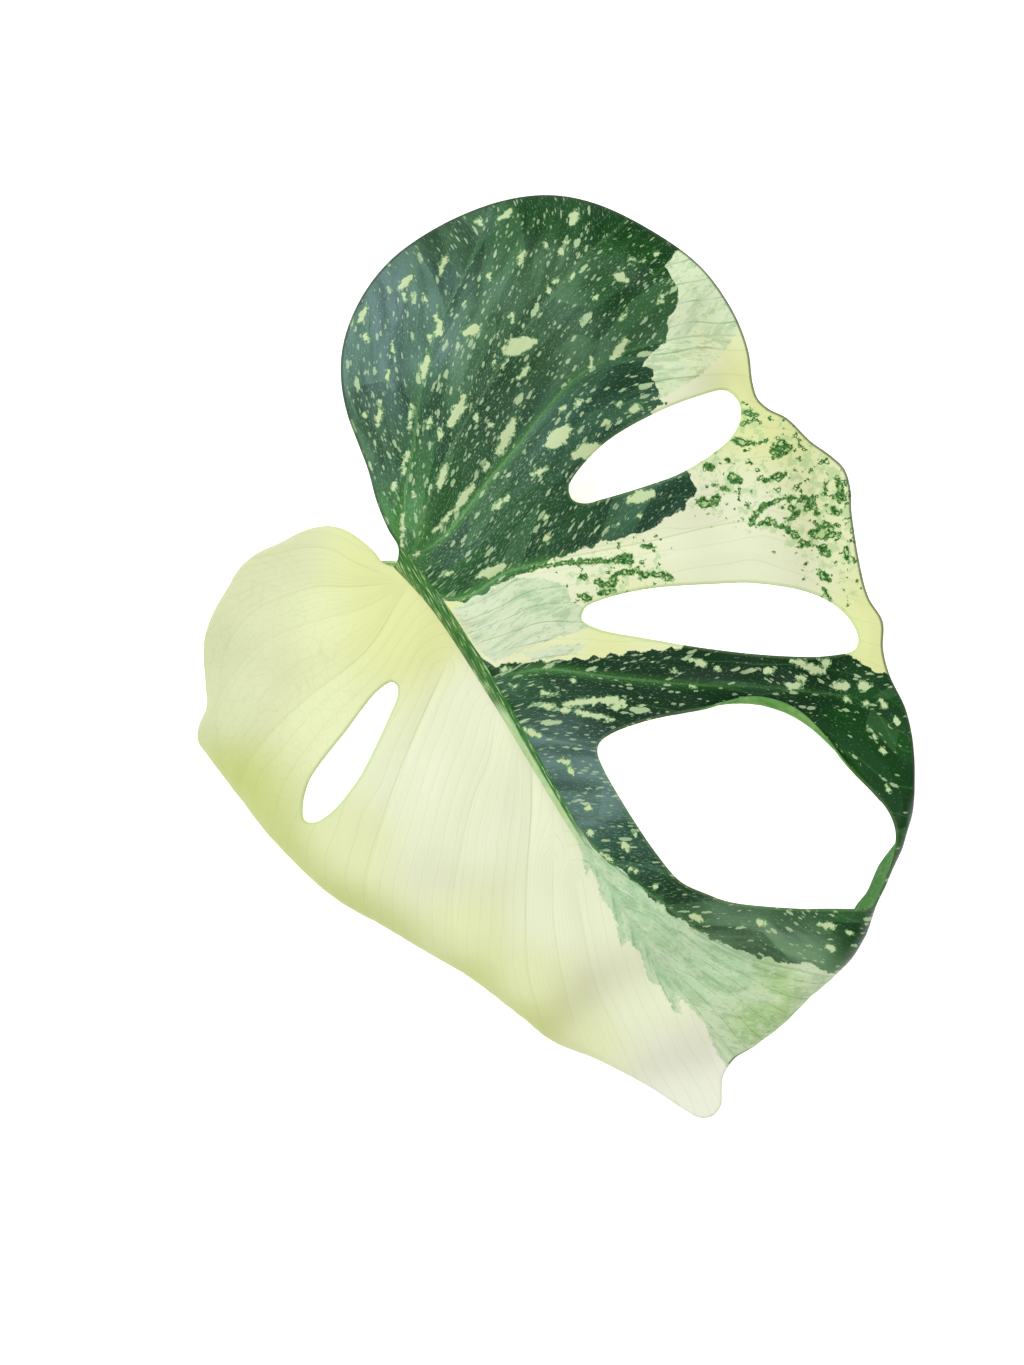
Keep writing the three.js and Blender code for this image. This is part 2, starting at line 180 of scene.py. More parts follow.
PALE_VEINS = [
    (0.3, [(-2.5, -2.5), (-7.5, 4), (-11, 9.5), (-16.5, 13), (-22, 14.5), (-32, 18)]),
    (0.4, [
        (-2.5, -4), (-11, 0), (-18, 4), (-30.5, 6), (-38, 4), (-42, 1.5), (-49, -8), (-58, -24),
    ]),
    (0.3, [(-3, -5.5), (-10, -5.5), (-25, -2), (-35, -1.5), (-46, -5.5), (-60, -16)]),
    (0.4, [(-2, -7), (-15, -14), (-31, -16.5), (-45, -20.5), (-54.5, -26), (-70, -38)]),
    (0.5, [(-2.5, -26), (-16, -36), (-28.5, -46.5), (-40, -57.5), (-44.5, -65), (-56, -84)]),
    (0.3, [(3, -40), (-3, -47.5), (-11, -54), (-24.5, -69.5), (-27.5, -74.5), (-40, -98)]),
    (0.5, [(5, -52), (0, -61), (-8.5, -74), (-18.5, -92.5), (-21.5, -103.5), (-28, -120)]),
    (0.25, [(-2, -74), (-9, -87), (-15, -105.5), (-16.5, -114), (-19, -130)]),
    (0.25, [(0, -80), (-7, -102), (-8.5, -116), (-9.5, -128), (-10, -145)]),
]

# ---------- variegation ----------
# The cream half ends under the midrib, this share of its half width left of its middle.
RIB_SHARE = 0.3
# Pale areas as closed outlines. Where they pass the margin they are drawn on beyond it.
PALE_AREAS = {
    "pale_half": [
        (-3, 8), (-1.9, 3), *((x - RIB_SHARE * half, y) for x, y, half in MIDRIB[:4]),
        (7, -75), (9, -90), (12, -110), (14, -125), (16, -150), (-90, -150), (-90, 40), (-3, 40),
    ],
    "sector": [
        (5, -12.5), (9, -15.5), (18, -15.5), (29, -16.5), (36, -17.5), (41.5, -18.5), (45.5, -20),
        (49.5, -20.5), (52.5, -21.5), (55, -21), (58.5, -21), (61, -21), (62, -19.5),
        (64, -20), (65.5, -19), (65.5, -15), (67, -8), (65, 1), (69, 1.2), (66.5, 3.5),
        (69, 4), (68.5, 7.5), (70, 8.5), (68.5, 11), (72, 12.5), (75, 13), (77.5, 15),
        (78.5, 17.5), (81.5, 19), (83.5, 21.5), (83.5, 24.5), (84, 26.7), (86.5, 26), (89, 23.5),
        (91, 19), (104, 12), (112, -40), (100, -68), (84.5, -76), (82.3, -74.5), (81, -73.5),
        (79.5, -71.5), (78.2, -69.7), (77.5, -67), (60, -52), (48, -46.3), (45.5, -47.5),
        (43.5, -45.5), (42, -46.5), (40.5, -45), (37.5, -43.5), (31, -41), (27, -39.5),
        (23, -37.5), (18.5, -35.5), (15, -33.7), (13, -33), (11, -31.5), (8, -31), (6.5, -28), (5, -20),
    ],
}
# Greyer green-white areas, in the same form. They lie over the pale ones.
SAGE_AREAS = {
    "wedge": [
        (4.9, -62), (5.6, -64), (6.5, -69), (7.2, -76), (8.4, -80), (10.3, -83.5), (12, -88.5),
        (14.5, -95.5), (17, -100), (20.5, -106.5), (26, -113.5), (29.5, -116.2), (32, -119),
        (36, -121), (39.5, -126), (46, -136), (40, -150), (9.4, -150), (9, -132), (8.5, -129.5),
        (9, -125), (9.5, -121), (8.5, -117), (7.5, -113.5), (6.1, -117.5), (5, -115.5),
        (5, -109.5), (3.6, -107.5), (4, -104), (5, -101), (3.8, -96.5), (1.6, -97.8),
        (3.5, -92.5), (4, -89.5), (3.2, -86.5), (4.5, -83), (4.5, -79), (2.6, -81),
        (4.5, -75), (5, -71.5),
    ],
    "mint": [
        (6, -15.4), (16, -15.6), (21, -16), (26.5, -19), (30, -23), (29.5, -26.5), (31.5, -30),
        (30, -33.5), (22, -31.8), (14.5, -30.6), (8.5, -30), (6.6, -26), (5.9, -20),
    ],
    "mint_streak": [
        (14.5, -31.4), (22.5, -33.5), (28.5, -36.5), (25, -37), (21.5, -36), (15.5, -33.5),
    ],
    "lobe": [
        (69, 2.4), (66.5, 3.5), (69, 4), (68.5, 7.5), (70, 8.5), (68.5, 11), (72, 12.5),
        (75, 13), (77.5, 15), (78.5, 17.5), (81.5, 19), (83.5, 21.5), (83.5, 24.5), (84, 28),
        (90, 30), (98, 18), (94, 9), (86, 5), (78, 3),
    ],
}
# Pale splashes on the green as (x, y, x, y, half width), one end to the other.
SPLASHES = [
    (71, 46.5, 73, 48.5, 0.9), (43, 53.5, 40, 50.5, 0.6), (34, 53, 30.5, 52, 0.75),
    (31, 50.5, 30, 49, 0.45), (32.5, 49.5, 32, 48.5, 0.35), (58, 45.5, 55.5, 43, 0.45),
    (60.5, 55.5, 57.5, 55, 0.6), (52.5, 57.5, 53.5, 56, 0.55), (38, 35.5, 40.5, 35, 1.3),
    (34.5, 40.5, 32.5, 38, 0.75), (34.5, 42.5, 34, 41.5, 0.45), (31, 39, 31, 38.5, 0.55),
    (19, 47, 18.5, 45, 0.55), (22, 52, 19, 50, 0.55), (23.5, 42, 22.5, 40, 0.35),
    (28.5, 35.5, 25, 31.5, 0.8), (19.5, 37, 18.5, 35, 0.45), (40, 27, 39.5, 26.5, 0.55),
    (43.5, 28, 49.5, 27, 1.65), (46, 22.5, 43, 21.5, 0.65), (59.5, 17.5, 58, 16, 0.55),
    (68, 17.5, 63.5, 15.5, 0.9), (73, 30.5, 74, 29, 1.1), (65.5, 42, 65, 41, 0.65),
    (63, 45, 63, 44, 0.55), (68, 43.5, 67, 42.5, 0.45), (58.5, 35.5, 58.5, 34.5, 0.55),
    (66.5, 29, 66.5, 28, 0.45), (79.5, 22, 78, 21, 0.55), (70.5, 22.5, 69, 22, 0.45),
    (61.5, 26.5, 61.5, 26, 0.45), (78, 33.5, 78.5, 32, 0.5), (80.5, 31.5, 80.5, 31, 0.45),
    (83.5, 31.5, 84, 31, 0.55), (80.5, 28.5, 80.5, 27.5, 0.45), (31, 23.5, 25.5, 20, 1),
    (34.5, 47.5, 34.5, 46.5, 0.4), (49.5, 45, 48.5, 43.5, 0.4), (65, 35.5, 64, 34.5, 0.5),
    (61.5, 36.5, 60.5, 36, 0.45), (49, 34.5, 48, 33, 0.5), (31.5, 19.5, 31, 18, 0.6),
    (20.5, 28, 17.5, 24, 0.5), (15, 32, 12, 28, 0.55), (10.5, 32, 10, 31, 0.6),
    (22.5, 23.5, 20.5, 21.5, 0.55), (23, 20, 22, 18.5, 0.55), (38, 14, 31.5, 9.5, 1),
    (33, 16, 33, 15, 0.55), (20, 12.5, 16.5, 9.5, 0.7), (14, 19.5, 11, 16, 0.5),
    (8.5, 15, 7.5, 14, 0.55), (11, 11, 10.5, 9.5, 0.4), (23, 6, 17.5, 3.5, 0.85),
    (17, 3.5, 11, 1.5, 0.35), (7, 8.5, 3, 2, 0.35), (28, 9, 27, 8, 0.6),
    (29, 0, 24.5, -0.5, 0.6), (39.5, 1, 35.5, 2, 0.5), (42, 5.5, 47, 6.5, 1.65),
    (46, 1, 51, 0, 1.35), (54.5, 4, 56, 3.5, 0.6), (48, 11, 49, 11, 0.6),
    (51.5, 10.5, 52.5, 10.5, 0.7), (59, 6, 60, 6, 0.6), (61, 3.5, 63.5, 3.5, 0.8),
    (51.5, -13.5, 56.5, -14.5, 1.25), (20.5, -12.5, 14.5, -12, 0.95), (8.5, -8, 9.5, -8, 0.55),
    (3.5, -0.5, 5.5, -1, 0.4), (33.5, -8, 34, -8, 0.55), (31, -12, 32, -12, 0.55),
    (46, -17, 47, -17, 0.45), (51.5, -17.5, 52, -17.5, 0.4), (60.5, -11, 62, -11.5, 0.45),
    (14, -41, 17, -42.5, 0.4), (17, -45.5, 24.5, -48.5, 0.7), (24.5, -48.5, 28.5, -51.5, 0.95),
    (26, -51, 27.5, -52, 0.75), (11.5, -42.5, 18.5, -48, 0.45), (18.5, -48, 24.5, -53.5, 0.5),
    (6.5, -45.5, 9, -49, 0.65), (10, -55.5, 12, -57, 0.5), (11, -58, 11.5, -59.5, 0.55),
    (9, -32, 10.5, -33, 0.55), (9, -36, 10, -37, 0.35), (21, -41.5, 21.5, -42, 0.55),
    (10, -67.5, 11, -68, 0.55), (8, -72, 8.5, -73, 0.55), (13.5, -78, 13.5, -79.5, 0.7),
    (16.5, -77, 16.5, -78, 0.4), (8, -77.5, 9.5, -80, 0.4), (65, -61.5, 68.5, -64.5, 0.65),
    (67, -64.5, 70, -67, 0.75), (70.5, -64.5, 72, -66, 0.75), (71, -71, 73, -72.5, 1),
    (75.5, -73.5, 77.5, -75, 0.9), (71.5, -74.5, 72, -75.5, 0.7), (61.5, -65.5, 64, -67.5, 0.65),
    (64, -65, 65.5, -66.5, 0.55), (59, -60.5, 60.5, -61.5, 0.55), (78, -79, 78.5, -80.5, 0.65),
    (74.5, -77.5, 75.5, -78.5, 0.55), (46, -50.5, 48, -53, 0.65), (41, -50.5, 42, -51, 0.4),
    (43, -55, 44, -56, 0.4), (49.5, -54.5, 50.5, -55.5, 0.4), (79, -84, 79, -85, 0.55),
    (73, -85, 73, -85.5, 0.55), (73, -88, 73, -89, 0.55), (70, -96, 70, -97, 0.5),
    (72.5, -83, 73, -84, 0.45), (18.5, -99, 20.5, -101.5, 0.6), (30.5, -107, 32, -109, 0.55),
    (42, -114.5, 44.5, -117, 0.65), (41, -119.5, 42, -121, 0.65), (15, -88.5, 15, -90, 0.5),
    (46.5, -119, 47, -120, 0.4), (12, -83.5, 13, -85, 0.45),
]
# Green islands left in the pale areas, in the same form.
ISLANDS = [
    (83, -8.5, 85.5, -10.5, 0.65), (83, -11, 81.5, -11, 0.45), (78, -13, 81.5, -16, 0.75),
    (74.5, -16, 75, -17, 0.35), (86, -19, 88, -20, 1.4), (84, -19.5, 86.5, -21, 0.9),
    (70, -15, 70.5, -16, 0.9), (73.5, -20, 74.5, -21.5, 1.2), (70, -20.5, 71.5, -22, 0.55),
    (79.5, -24.5, 84, -25, 0.5), (81.5, -25, 83.5, -25.5, 0.75), (64, -21, 67, -23, 0.9),
    (69, -22, 67, -23, 0.7), (72.5, -30.5, 77, -29, 0.55), (77, -29, 80.5, -29.5, 0.5),
    (81, -29.5, 83.5, -31, 0.45), (83.5, -31.5, 87, -32.5, 0.55), (87, -32.5, 84, -34.5, 0.75),
    (83, -34, 79.5, -34, 0.55), (81, -32, 82, -32.5, 0.65), (77.5, -33, 72, -31, 0.35),
    (74.5, -32, 78.5, -35.5, 0.35), (78.5, -35.5, 80, -38.5, 0.7), (79.5, -39.5, 82, -41.5, 0.65),
    (86, -35.5, 87, -36.5, 0.65), (90, -37, 90.5, -38.5, 0.8), (85.5, -39, 87.5, -40.5, 1.1),
    (83.5, -39.5, 87.5, -42, 1.2), (83.5, -43, 84, -45.5, 0.8), (80.5, -48, 81, -50, 0.9),
    (88.5, -46, 87.5, -48.5, 0.55), (92.5, -34, 92.5, -36.5, 0.45), (79.5, -51.5, 79.5, -54.5, 0.35),
    (23, -15.4, 31.5, -18, 0.4), (31.5, -18, 41.5, -23, 0.5), (41.5, -23, 46, -24.5, 0.65),
    (43, -24.5, 45.5, -25.5, 0.45), (33.5, -22.5, 35, -23.5, 0.5), (36, -25.5, 39, -28, 0.65),
    (39, -28, 41, -26, 0.55), (41, -26, 46, -28.5, 0.55), (45.5, -29, 51, -32, 0.5),
    (49.5, -31.5, 51, -33, 0.75), (35.5, -28, 38.5, -29, 0.5), (31.5, -26.5, 33.5, -28, 0.65),
    (49, -23.5, 51, -25, 0.45), (94.5, -32, 93.5, -36.5, 0.65),
]

# Colours, as they look (sRGB, 0 to 255).
PALETTE = {
    "cream": (228, 231, 199),
    "white_cream": (235, 236, 217),
    "yellow_cream": (220, 224, 156),
    # The next one is painted shade, for the left margin where it rolls under.
    "painted_roll_shade": (196, 204, 124),
    "butter": (224, 228, 178),
    "lobe_cream": (213, 215, 172),
    "lobe_edge": (206, 210, 166),
    "sage": (178, 206, 164),
    "light_sage": (200, 218, 178),
    "yellow_sage": (172, 200, 136),
    "mint": (214, 222, 188),
    "mint_cream": (213, 227, 185),
    "deep": (44, 84, 46),
    "blue_deep": (50, 84, 66),
    # The next three are painted reflections: a window's bluish sheen laid into the green as paler
    # colour.
    "painted_sheen": (82, 118, 82),
    "blue_painted_sheen": (98, 126, 120),
    "pale_painted_sheen": (124, 160, 120),
    "mid_green": (44, 92, 42),
    "bright": (68, 128, 52),
    "margin_green": (22, 72, 16),
    "night_green": (16, 48, 18),
}
# What the pale parts look like where: (x, y, colour name). The darker lime marks along the left margin
# are painted shade where it rolls under.
PALE_MARKS = [
    (-12, -8, "yellow_cream"), (-6, 2, "yellow_cream"), (-20, -3, "butter"),
    (-3, -18, "yellow_cream"), (-28, 8, "lobe_cream"), (-30, -22, "butter"),
    (-38, -8, "lobe_cream"), (-20, 12, "lobe_cream"), (-50, -8, "lobe_edge"),
    (-42, 4, "lobe_edge"),
    (-56, -24, "painted_roll_shade"), (-59, -45, "painted_roll_shade"), (-52, -60, "painted_roll_shade"),
    (-46, -74, "painted_roll_shade"), (-34, -88, "painted_roll_shade"), (-26, -104, "painted_roll_shade"),
    (0, -35, "cream"), (-20, -45, "cream"), (-10, -60, "cream"), (-25, -62, "cream"),
    (-8, -85, "cream"), (0, -95, "cream"), (-5, -110, "cream"), (5, -115, "cream"),
    (0, -125, "white_cream"), (2, -134, "white_cream"), (-14, -112, "butter"),
    (-38, -50, "butter"), (-28, -78, "butter"), (-18, -95, "butter"),
    (30, -26, "cream"), (32, -37, "yellow_cream"), (42, -43, "butter"), (20, -36, "butter"),
    (60, -28, "cream"), (72, -30, "cream"), (78, -45, "cream"), (76, 6, "cream"),
    (86, -45, "butter"), (92, -34, "butter"), (88, -60, "yellow_cream"),
    (84, -70, "yellow_cream"), (89, -14, "yellow_cream"), (88, -2, "yellow_cream"),
    (89, 8, "butter"), (86, 20, "cream"),
]
# How much of the pale parts is broken up by green where: (x, y, amount from 0 to 1).
MOTTLE_MARKS = [
    (86, -12, 0.5), (78, -14, 0.3), (88, -22, 0.7), (80, -20, 0.45), (72, -20, 0.6),
    (66, -22, 0.35), (93, -30, 0.8), (84, -30, 0.6), (76, -31, 0.45), (90, -38, 0.85),
    (82, -40, 0.65), (87, -48, 0.55), (81, -50, 0.3), (40, -25, 0.55), (47, -28, 0.5),
    (33, -24, 0.35), (34, -19, 0.2), (60, -28, 0), (68, -36, 0), (55, -35, 0), (72, -44, 0),
    (25, -20, 0), (20, -30, 0), (35, -40, 0), (76, 6, 0), (88, -62, 0), (84, -72, 0),
    (80, 15, 0), (90, 10, 0), (88, 0, 0), (50, -22, 0.2), (58, -24, 0.05), (0, -40, 0),
    (-40, 0, 0), (-40, -60, 0), (0, -90, 0), (10, -120, 0), (30, -130, 0), (0, -10, 0),
]
# What the greyer parts look like where.
SAGE_MARKS = [
    (6, -70, "light_sage"), (10, -92, "sage"), (16, -108, "sage"), (22, -116, "sage"),
    (28, -122, "yellow_sage"), (12, -120, "light_sage"), (36, -124, "light_sage"),
    (20, -126, "yellow_sage"), (12, -104, "sage"), (7, -82, "sage"), (10, -130, "light_sage"),
    (14, -20, "mint"), (12, -27, "mint"), (20, -30, "mint"), (24, -22, "light_sage"),
    (72, 8, "mint_cream"), (84, 20, "mint_cream"), (78, 12, "mint_cream"), (82, 7, "butter"),
    (88, 12, "mint_cream"),
]
# What the green parts look like where. The paler, bluer marks are a painted reflection: a window's
# sheen laid into the colour.
GREEN_MARKS = [
    (10, 6, "bright"), (6, 2, "bright"), (14, 14, "mid_green"), (10, 28, "painted_sheen"),
    (20, 40, "blue_painted_sheen"), (30, 45, "blue_painted_sheen"), (24, 28, "deep"), (38, 50, "blue_painted_sheen"),
    (30, 36, "blue_painted_sheen"), (44, 56, "painted_sheen"), (16, 32, "blue_painted_sheen"), (34, 28, "painted_sheen"),
    (55, 54, "deep"), (68, 52, "mid_green"), (80, 42, "margin_green"), (84, 33, "margin_green"),
    (60, 38, "painted_sheen"), (45, 36, "painted_sheen"), (75, 34, "mid_green"), (70, 24, "deep"),
    (55, 22, "painted_sheen"), (35, 20, "deep"), (62, 10, "blue_deep"), (48, 8, "blue_deep"),
    (30, 3, "deep"), (22, -6, "deep"), (40, -12, "deep"), (50, -17, "blue_deep"),
    (60, -17, "blue_deep"), (14, -4, "mid_green"), (12, -38, "deep"), (20, -42, "night_green"),
    (12, -52, "blue_painted_sheen"), (14, -65, "blue_painted_sheen"), (14, -80, "blue_deep"),
    (20, -95, "night_green"),
    (26, -50, "night_green"), (35, -50, "night_green"), (50, -58, "night_green"),
    (65, -68, "night_green"), (72, -80, "margin_green"), (75, -90, "margin_green"),
    (28, -103, "night_green"), (37, -109, "night_green"), (24, -106, "pale_painted_sheen"),
    (30, -111, "pale_painted_sheen"), (35, -118, "pale_painted_sheen"), (46, -114, "margin_green"),
    (48, -120, "margin_green"), (55, -118, "margin_green"), (66, -105, "margin_green"),
]
# How thickly the green is speckled where: (x, y, amount from 0 to 1).
SPECKLE_MARKS = [
    (10, 12, 0.7), (20, 35, 0.6), (35, 30, 0.7), (55, 30, 0.6), (70, 35, 0.6), (45, 50, 0.5),
    (78, 42, 0.5), (55, 12, 0.5), (30, 2, 0.75), (45, -8, 0.5), (20, -5, 0.8), (55, -18, 0.5),
    (15, -37, 0.6), (30, -47, 0.45), (50, -58, 0.3), (65, -68, 0.4), (75, -80, 0.25),
    (12, -50, 0.5), (14, -70, 0.65), (15, -85, 0.7), (22, -98, 0.45), (36, -113, 0.45),
    (50, -119, 0.35), (70, -95, 0.2), (62, -112, 0.1),
]

# The midrib's ridge on the back as (x, y, half width), from the notch to near the tip.
RIB = [
    (2, -5, 2.6), (3, -10, 2.6), (5, -25, 2.4), (6.2, -42, 2.1), (7, -60, 1.9), (7, -78, 1.7),
    (6.2, -95, 1.5), (7.2, -108, 1.4), (8.8, -122, 1.3),
]

# ---------- the cut stalk ----------
STALK = [
    (3.9, -13.5, 13.4, 1.2), (2.2, -7.5, 12.6, 2), (-0.5, -2.6, 11.6, 2.5), (-5, 0, 9.6, 2.6),
    (-12, 2, 6.6, 2.7), (-21, 3, 4.2, 2.6), (-31, 3.6, 3, 2.6), (-38, 3.8, 2.8, 2.6),
]


# ---------- curves ----------
def smooth(points, closed, gap):
    """A centripetal Catmull-Rom curve through the points, with a point about every gap."""
    p = np.array(points, float)
    if closed:
        p = np.vstack([p[-1], p, p[0], p[1]])
    else:
        p = np.vstack([2 * p[0] - p[1], p, 2 * p[-1] - p[-2]])
    fine = []
    u = np.linspace(0, 1, 24, endpoint=False)[:, None]
    for a, b, c, d in zip(p[:-3], p[1:-2], p[2:-1], p[3:]):
        ab, bc, cd = (math.sqrt(max(np.linalg.norm(q), 1e-9)) for q in (b - a, c - b, d - c))
        leave = ((b - a) / ab - (c - a) / (ab + bc) + (c - b) / bc) * bc
        reach = ((c - b) / bc - (d - b) / (bc + cd) + (d - c) / cd) * bc
        square = 3 * (c - b) - 2 * leave - reach
        cube = 2 * (b - c) + leave + reach
        fine.append(b + leave * u + square * u**2 + cube * u**3)
    fine.append(p[-2][None])
    fine = np.vstack(fine)
    walked = np.concatenate([[0], np.cumsum(np.linalg.norm(np.diff(fine, axis=0), axis=1))])
    count = max(4, round(walked[-1] / gap))
    stops = np.linspace(0, walked[-1], count, endpoint=not closed)
    return np.stack([np.interp(stops, walked, column) for column in fine.T], axis=1)


def nearest(line, pts, closed=False):
    """For each point: distance to the line, foot, how far along it is, and which side it is on."""
    line = np.vstack([line, line[:1]]) if closed else line
    far = np.full(len(pts), np.inf)
    foot = np.zeros((len(pts), line.shape[1]))
    passed = np.zeros(len(pts))
    side = np.zeros(len(pts))
    for i, (a, b) in enumerate(zip(line[:-1], line[1:])):
        along = b[:2] - a[:2]
        off = pts - a[:2]
        t = np.clip(off @ along / (along @ along), 0, 1)
        gap = off - t[:, None] * along
        d = np.hypot(gap[:, 0], gap[:, 1])
        near = d < far
        far[near] = d[near]
        foot[near] = a + t[near, None] * (b - a)
        passed[near] = i + t[near]
        side[near] = (along[0] * off[:, 1] - along[1] * off[:, 0])[near]
    return far, foot, passed, np.sign(side)


def inside(loop, pts):
    x, y = pts.T
    result = np.zeros(len(pts), bool)
    for (ax, ay), (bx, by) in zip(loop, np.roll(loop, 1, axis=0)):
        if ay == by:
            continue
        level = (ay > y) != (by > y)
        result ^= level & (x < (bx - ax) * (y - ay) / (by - ay) + ax)
    return result


def depth_in(outline, pts):
    """How far inside a closed outline each point is; negative outside."""
    loop = np.array(outline, float)
    far = nearest(loop, pts, closed=True)[0]
    return np.where(inside(loop, pts), far, -far)


def depth_in_strokes(strokes, pts, reach=4.0):
    """How far inside the nearest of many round-ended strokes each point is."""
    depth = np.full(len(pts), -reach)
    for ax, ay, bx, by, half in strokes:
        low = np.array([min(ax, bx), min(ay, by)]) - reach
        high = np.array([max(ax, bx), max(ay, by)]) + reach
        near = np.flatnonzero(((pts > low) & (pts < high)).all(axis=1))
        if not len(near):
            continue
        off = pts[near] - (ax, ay)
        along = np.array([bx - ax, by - ay])
        t = np.clip(off @ along / max(along @ along, 1e-9), 0, 1)
        d = np.linalg.norm(off - t[:, None] * along, axis=1)
        taper = 1.12 - 0.5 * (2 * t - 1) ** 2
        depth[near] = np.maximum(depth[near], half * taper - d)
    return depth


def blend_marks(marks, pts, reach, power=2.5):
    """Marks of (x, y, value...) blended smoothly over the points."""
    values = np.array([np.atleast_1d(m[2]) for m in marks], float)
    total = np.zeros((len(pts), values.shape[1]))
    weights = np.zeros(len(pts))
    for (x, y, *_), value in zip(marks, values):
        square = (pts[:, 0] - x) ** 2 + (pts[:, 1] - y) ** 2
        weight = (square + reach**2) ** -power
        total += weight[:, None] * value
        weights += weight
    return total / weights[:, None]


# ---------- from the flat blade to its resting shape ----------
for roll in ROLLS:
    roll["samples"] = smooth(roll["line"], False, 1.0)


def rest(flat):
    """Where points of the flat blade's middle surface lie when the leaf rests, in mm."""
    pts = flat.copy()
    lift = np.zeros(len(pts))
    for roll in ROLLS:
        far, foot, _, side = nearest(roll["samples"], pts)
        out = (side * roll["outside"] > 0) & (far > 1e-6)
        if "within" in roll:
            x, y, reach = roll["within"]
            out &= np.hypot(pts[:, 0] - x, pts[:, 1] - y) < reach
        radius = foot[:, 2]
        angle = np.minimum(far / radius, MOST_ROLL)
        past = far - angle * radius
        reach = radius * np.sin(angle) + past * np.cos(angle)
        rise = radius * (1 - np.cos(angle)) + past * np.sin(angle)
        moved = foot[:, :2] + (pts - foot[:, :2]) * (reach / np.maximum(far, 1e-6))[:, None]
        pts = np.where(out[:, None], moved, pts)
        lift += np.where(out, roll["bend"] * rise, 0)
    height = blend_marks(HEIGHT_MARKS, pts, HEIGHT_REACH)[:, 0]
    return np.column_stack([pts, height + lift])


def rest_and_normal(flat):
    step = 0.05
    x = np.array([step, 0])
    y = np.array([0, step])
    normal = np.cross(rest(flat + x) - rest(flat - x), rest(flat + y) - rest(flat - y))
    return rest(flat), normal / np.linalg.norm(normal, axis=1)[:, None]


# ---------- the flat blade's mesh ----------
def ripple(pts, size, seed):
    """A smooth wavering between about -1 and 1, with bumps about size across."""
    rng = np.random.default_rng(seed)
    total = np.zeros(len(pts))
    for _ in range(9):
        turn = rng.uniform(0, 2 * math.pi)
        rate = 2 * math.pi / (size * rng.uniform(1.4, 3.2))
        phase = rng.uniform(0, 2 * math.pi)
        total += np.sin(rate * (pts @ (math.cos(turn), math.sin(turn))) + phase)
    return total / 4.5


def anticlockwise(loop):
    after = np.roll(loop, -1, axis=0)
    area = (loop[:, 0] * after[:, 1] - after[:, 0] * loop[:, 1]).sum()
    return loop if area > 0 else loop[::-1]


class Flat:
    """The flat blade's triangles, with its rim points first, loop by loop."""

    def __init__(self, step):
        self.loops = [anticlockwise(smooth(MARGIN, True, RIM_STEP))]
        self.loops += [anticlockwise(smooth(h, True, RIM_STEP))[::-1] for h in HOLES.values()]
        rim = np.vstack(self.loops)
        pts = np.vstack([rim, self._fill(step)])
        edges = []
        start = 0
        for loop in self.loops:
            n = len(loop)
            edges += [(start + i, start + (i + 1) % n) for i in range(n)]
            start += n
        found = delaunay_2d_cdt([Vector(p) for p in pts], edges, [], 0, 1e-5, True)
        self.rim_count = len(rim)
        places = {}
        for new, old in enumerate(found[3]):
            places[new] = old[0] if old else None
        faces = [[places[i] for i in face] for face in found[2]]
        faces = np.array([f for f in faces if None not in f])
        middle = pts[faces].mean(axis=1)
        faces = faces[self._on_blade(middle)]
        a, b, c = (pts[faces[:, k]] for k in range(3))
        turn = (b - a)[:, 0] * (c - a)[:, 1] - (b - a)[:, 1] * (c - a)[:, 0]
        faces[turn < 0] = faces[turn < 0][:, ::-1]
        self.pts = pts
        self.faces = faces

    def _on_blade(self, pts):
        ok = inside(self.loops[0], pts)
        for hole in self.loops[1:]:
            ok &= ~inside(hole, pts)
        return ok

    def _fill(self, step):
        """An even triangular grid of points, clear of the rim."""
        low, high = self.loops[0].min(axis=0), self.loops[0].max(axis=0)
        rows = np.arange(low[1], high[1], step * math.sqrt(3) / 2)
        grid = []
        for k, y in enumerate(rows):
            x = np.arange(low[0] + (k % 2) * step / 2, high[0], step)
            grid.append(np.column_stack([x, np.full(len(x), y)]))
        pts = np.vstack(grid)
        pts = pts[self._on_blade(pts)]
        clear = np.ones(len(pts), bool)
        for loop in self.loops:
            clear &= nearest(loop, pts, closed=True)[0] > step * 0.55
        return pts[clear]

    def rim_outwards(self):
        """For each rim point, the way out of the blade. Every loop has the blade on its left."""
        ways = []
        for loop in self.loops:
            along = np.roll(loop, -1, axis=0) - np.roll(loop, 1, axis=0)
            ways.append(np.column_stack([along[:, 1], -along[:, 0]]))
        ways = np.vstack(ways)
        return ways / np.linalg.norm(ways, axis=1)[:, None]

    def rim_next(self):
        """For each rim point, the next one on its loop."""
        after = []
        for loop in self.loops:
            start = len(after)
            after += [start + (i + 1) % len(loop) for i in range(len(loop))]
        return np.array(after)


# ---------- what each point of the blade is like ----------
def signed_vein(line, pts):
    """Distance from a vein's line, positive on its clockwise side, and how far out along it."""
    samples = smooth(line, False, 1.5)
    far, _, passed, side = nearest(samples, pts)
    return -side * far, passed / (len(samples) - 1)


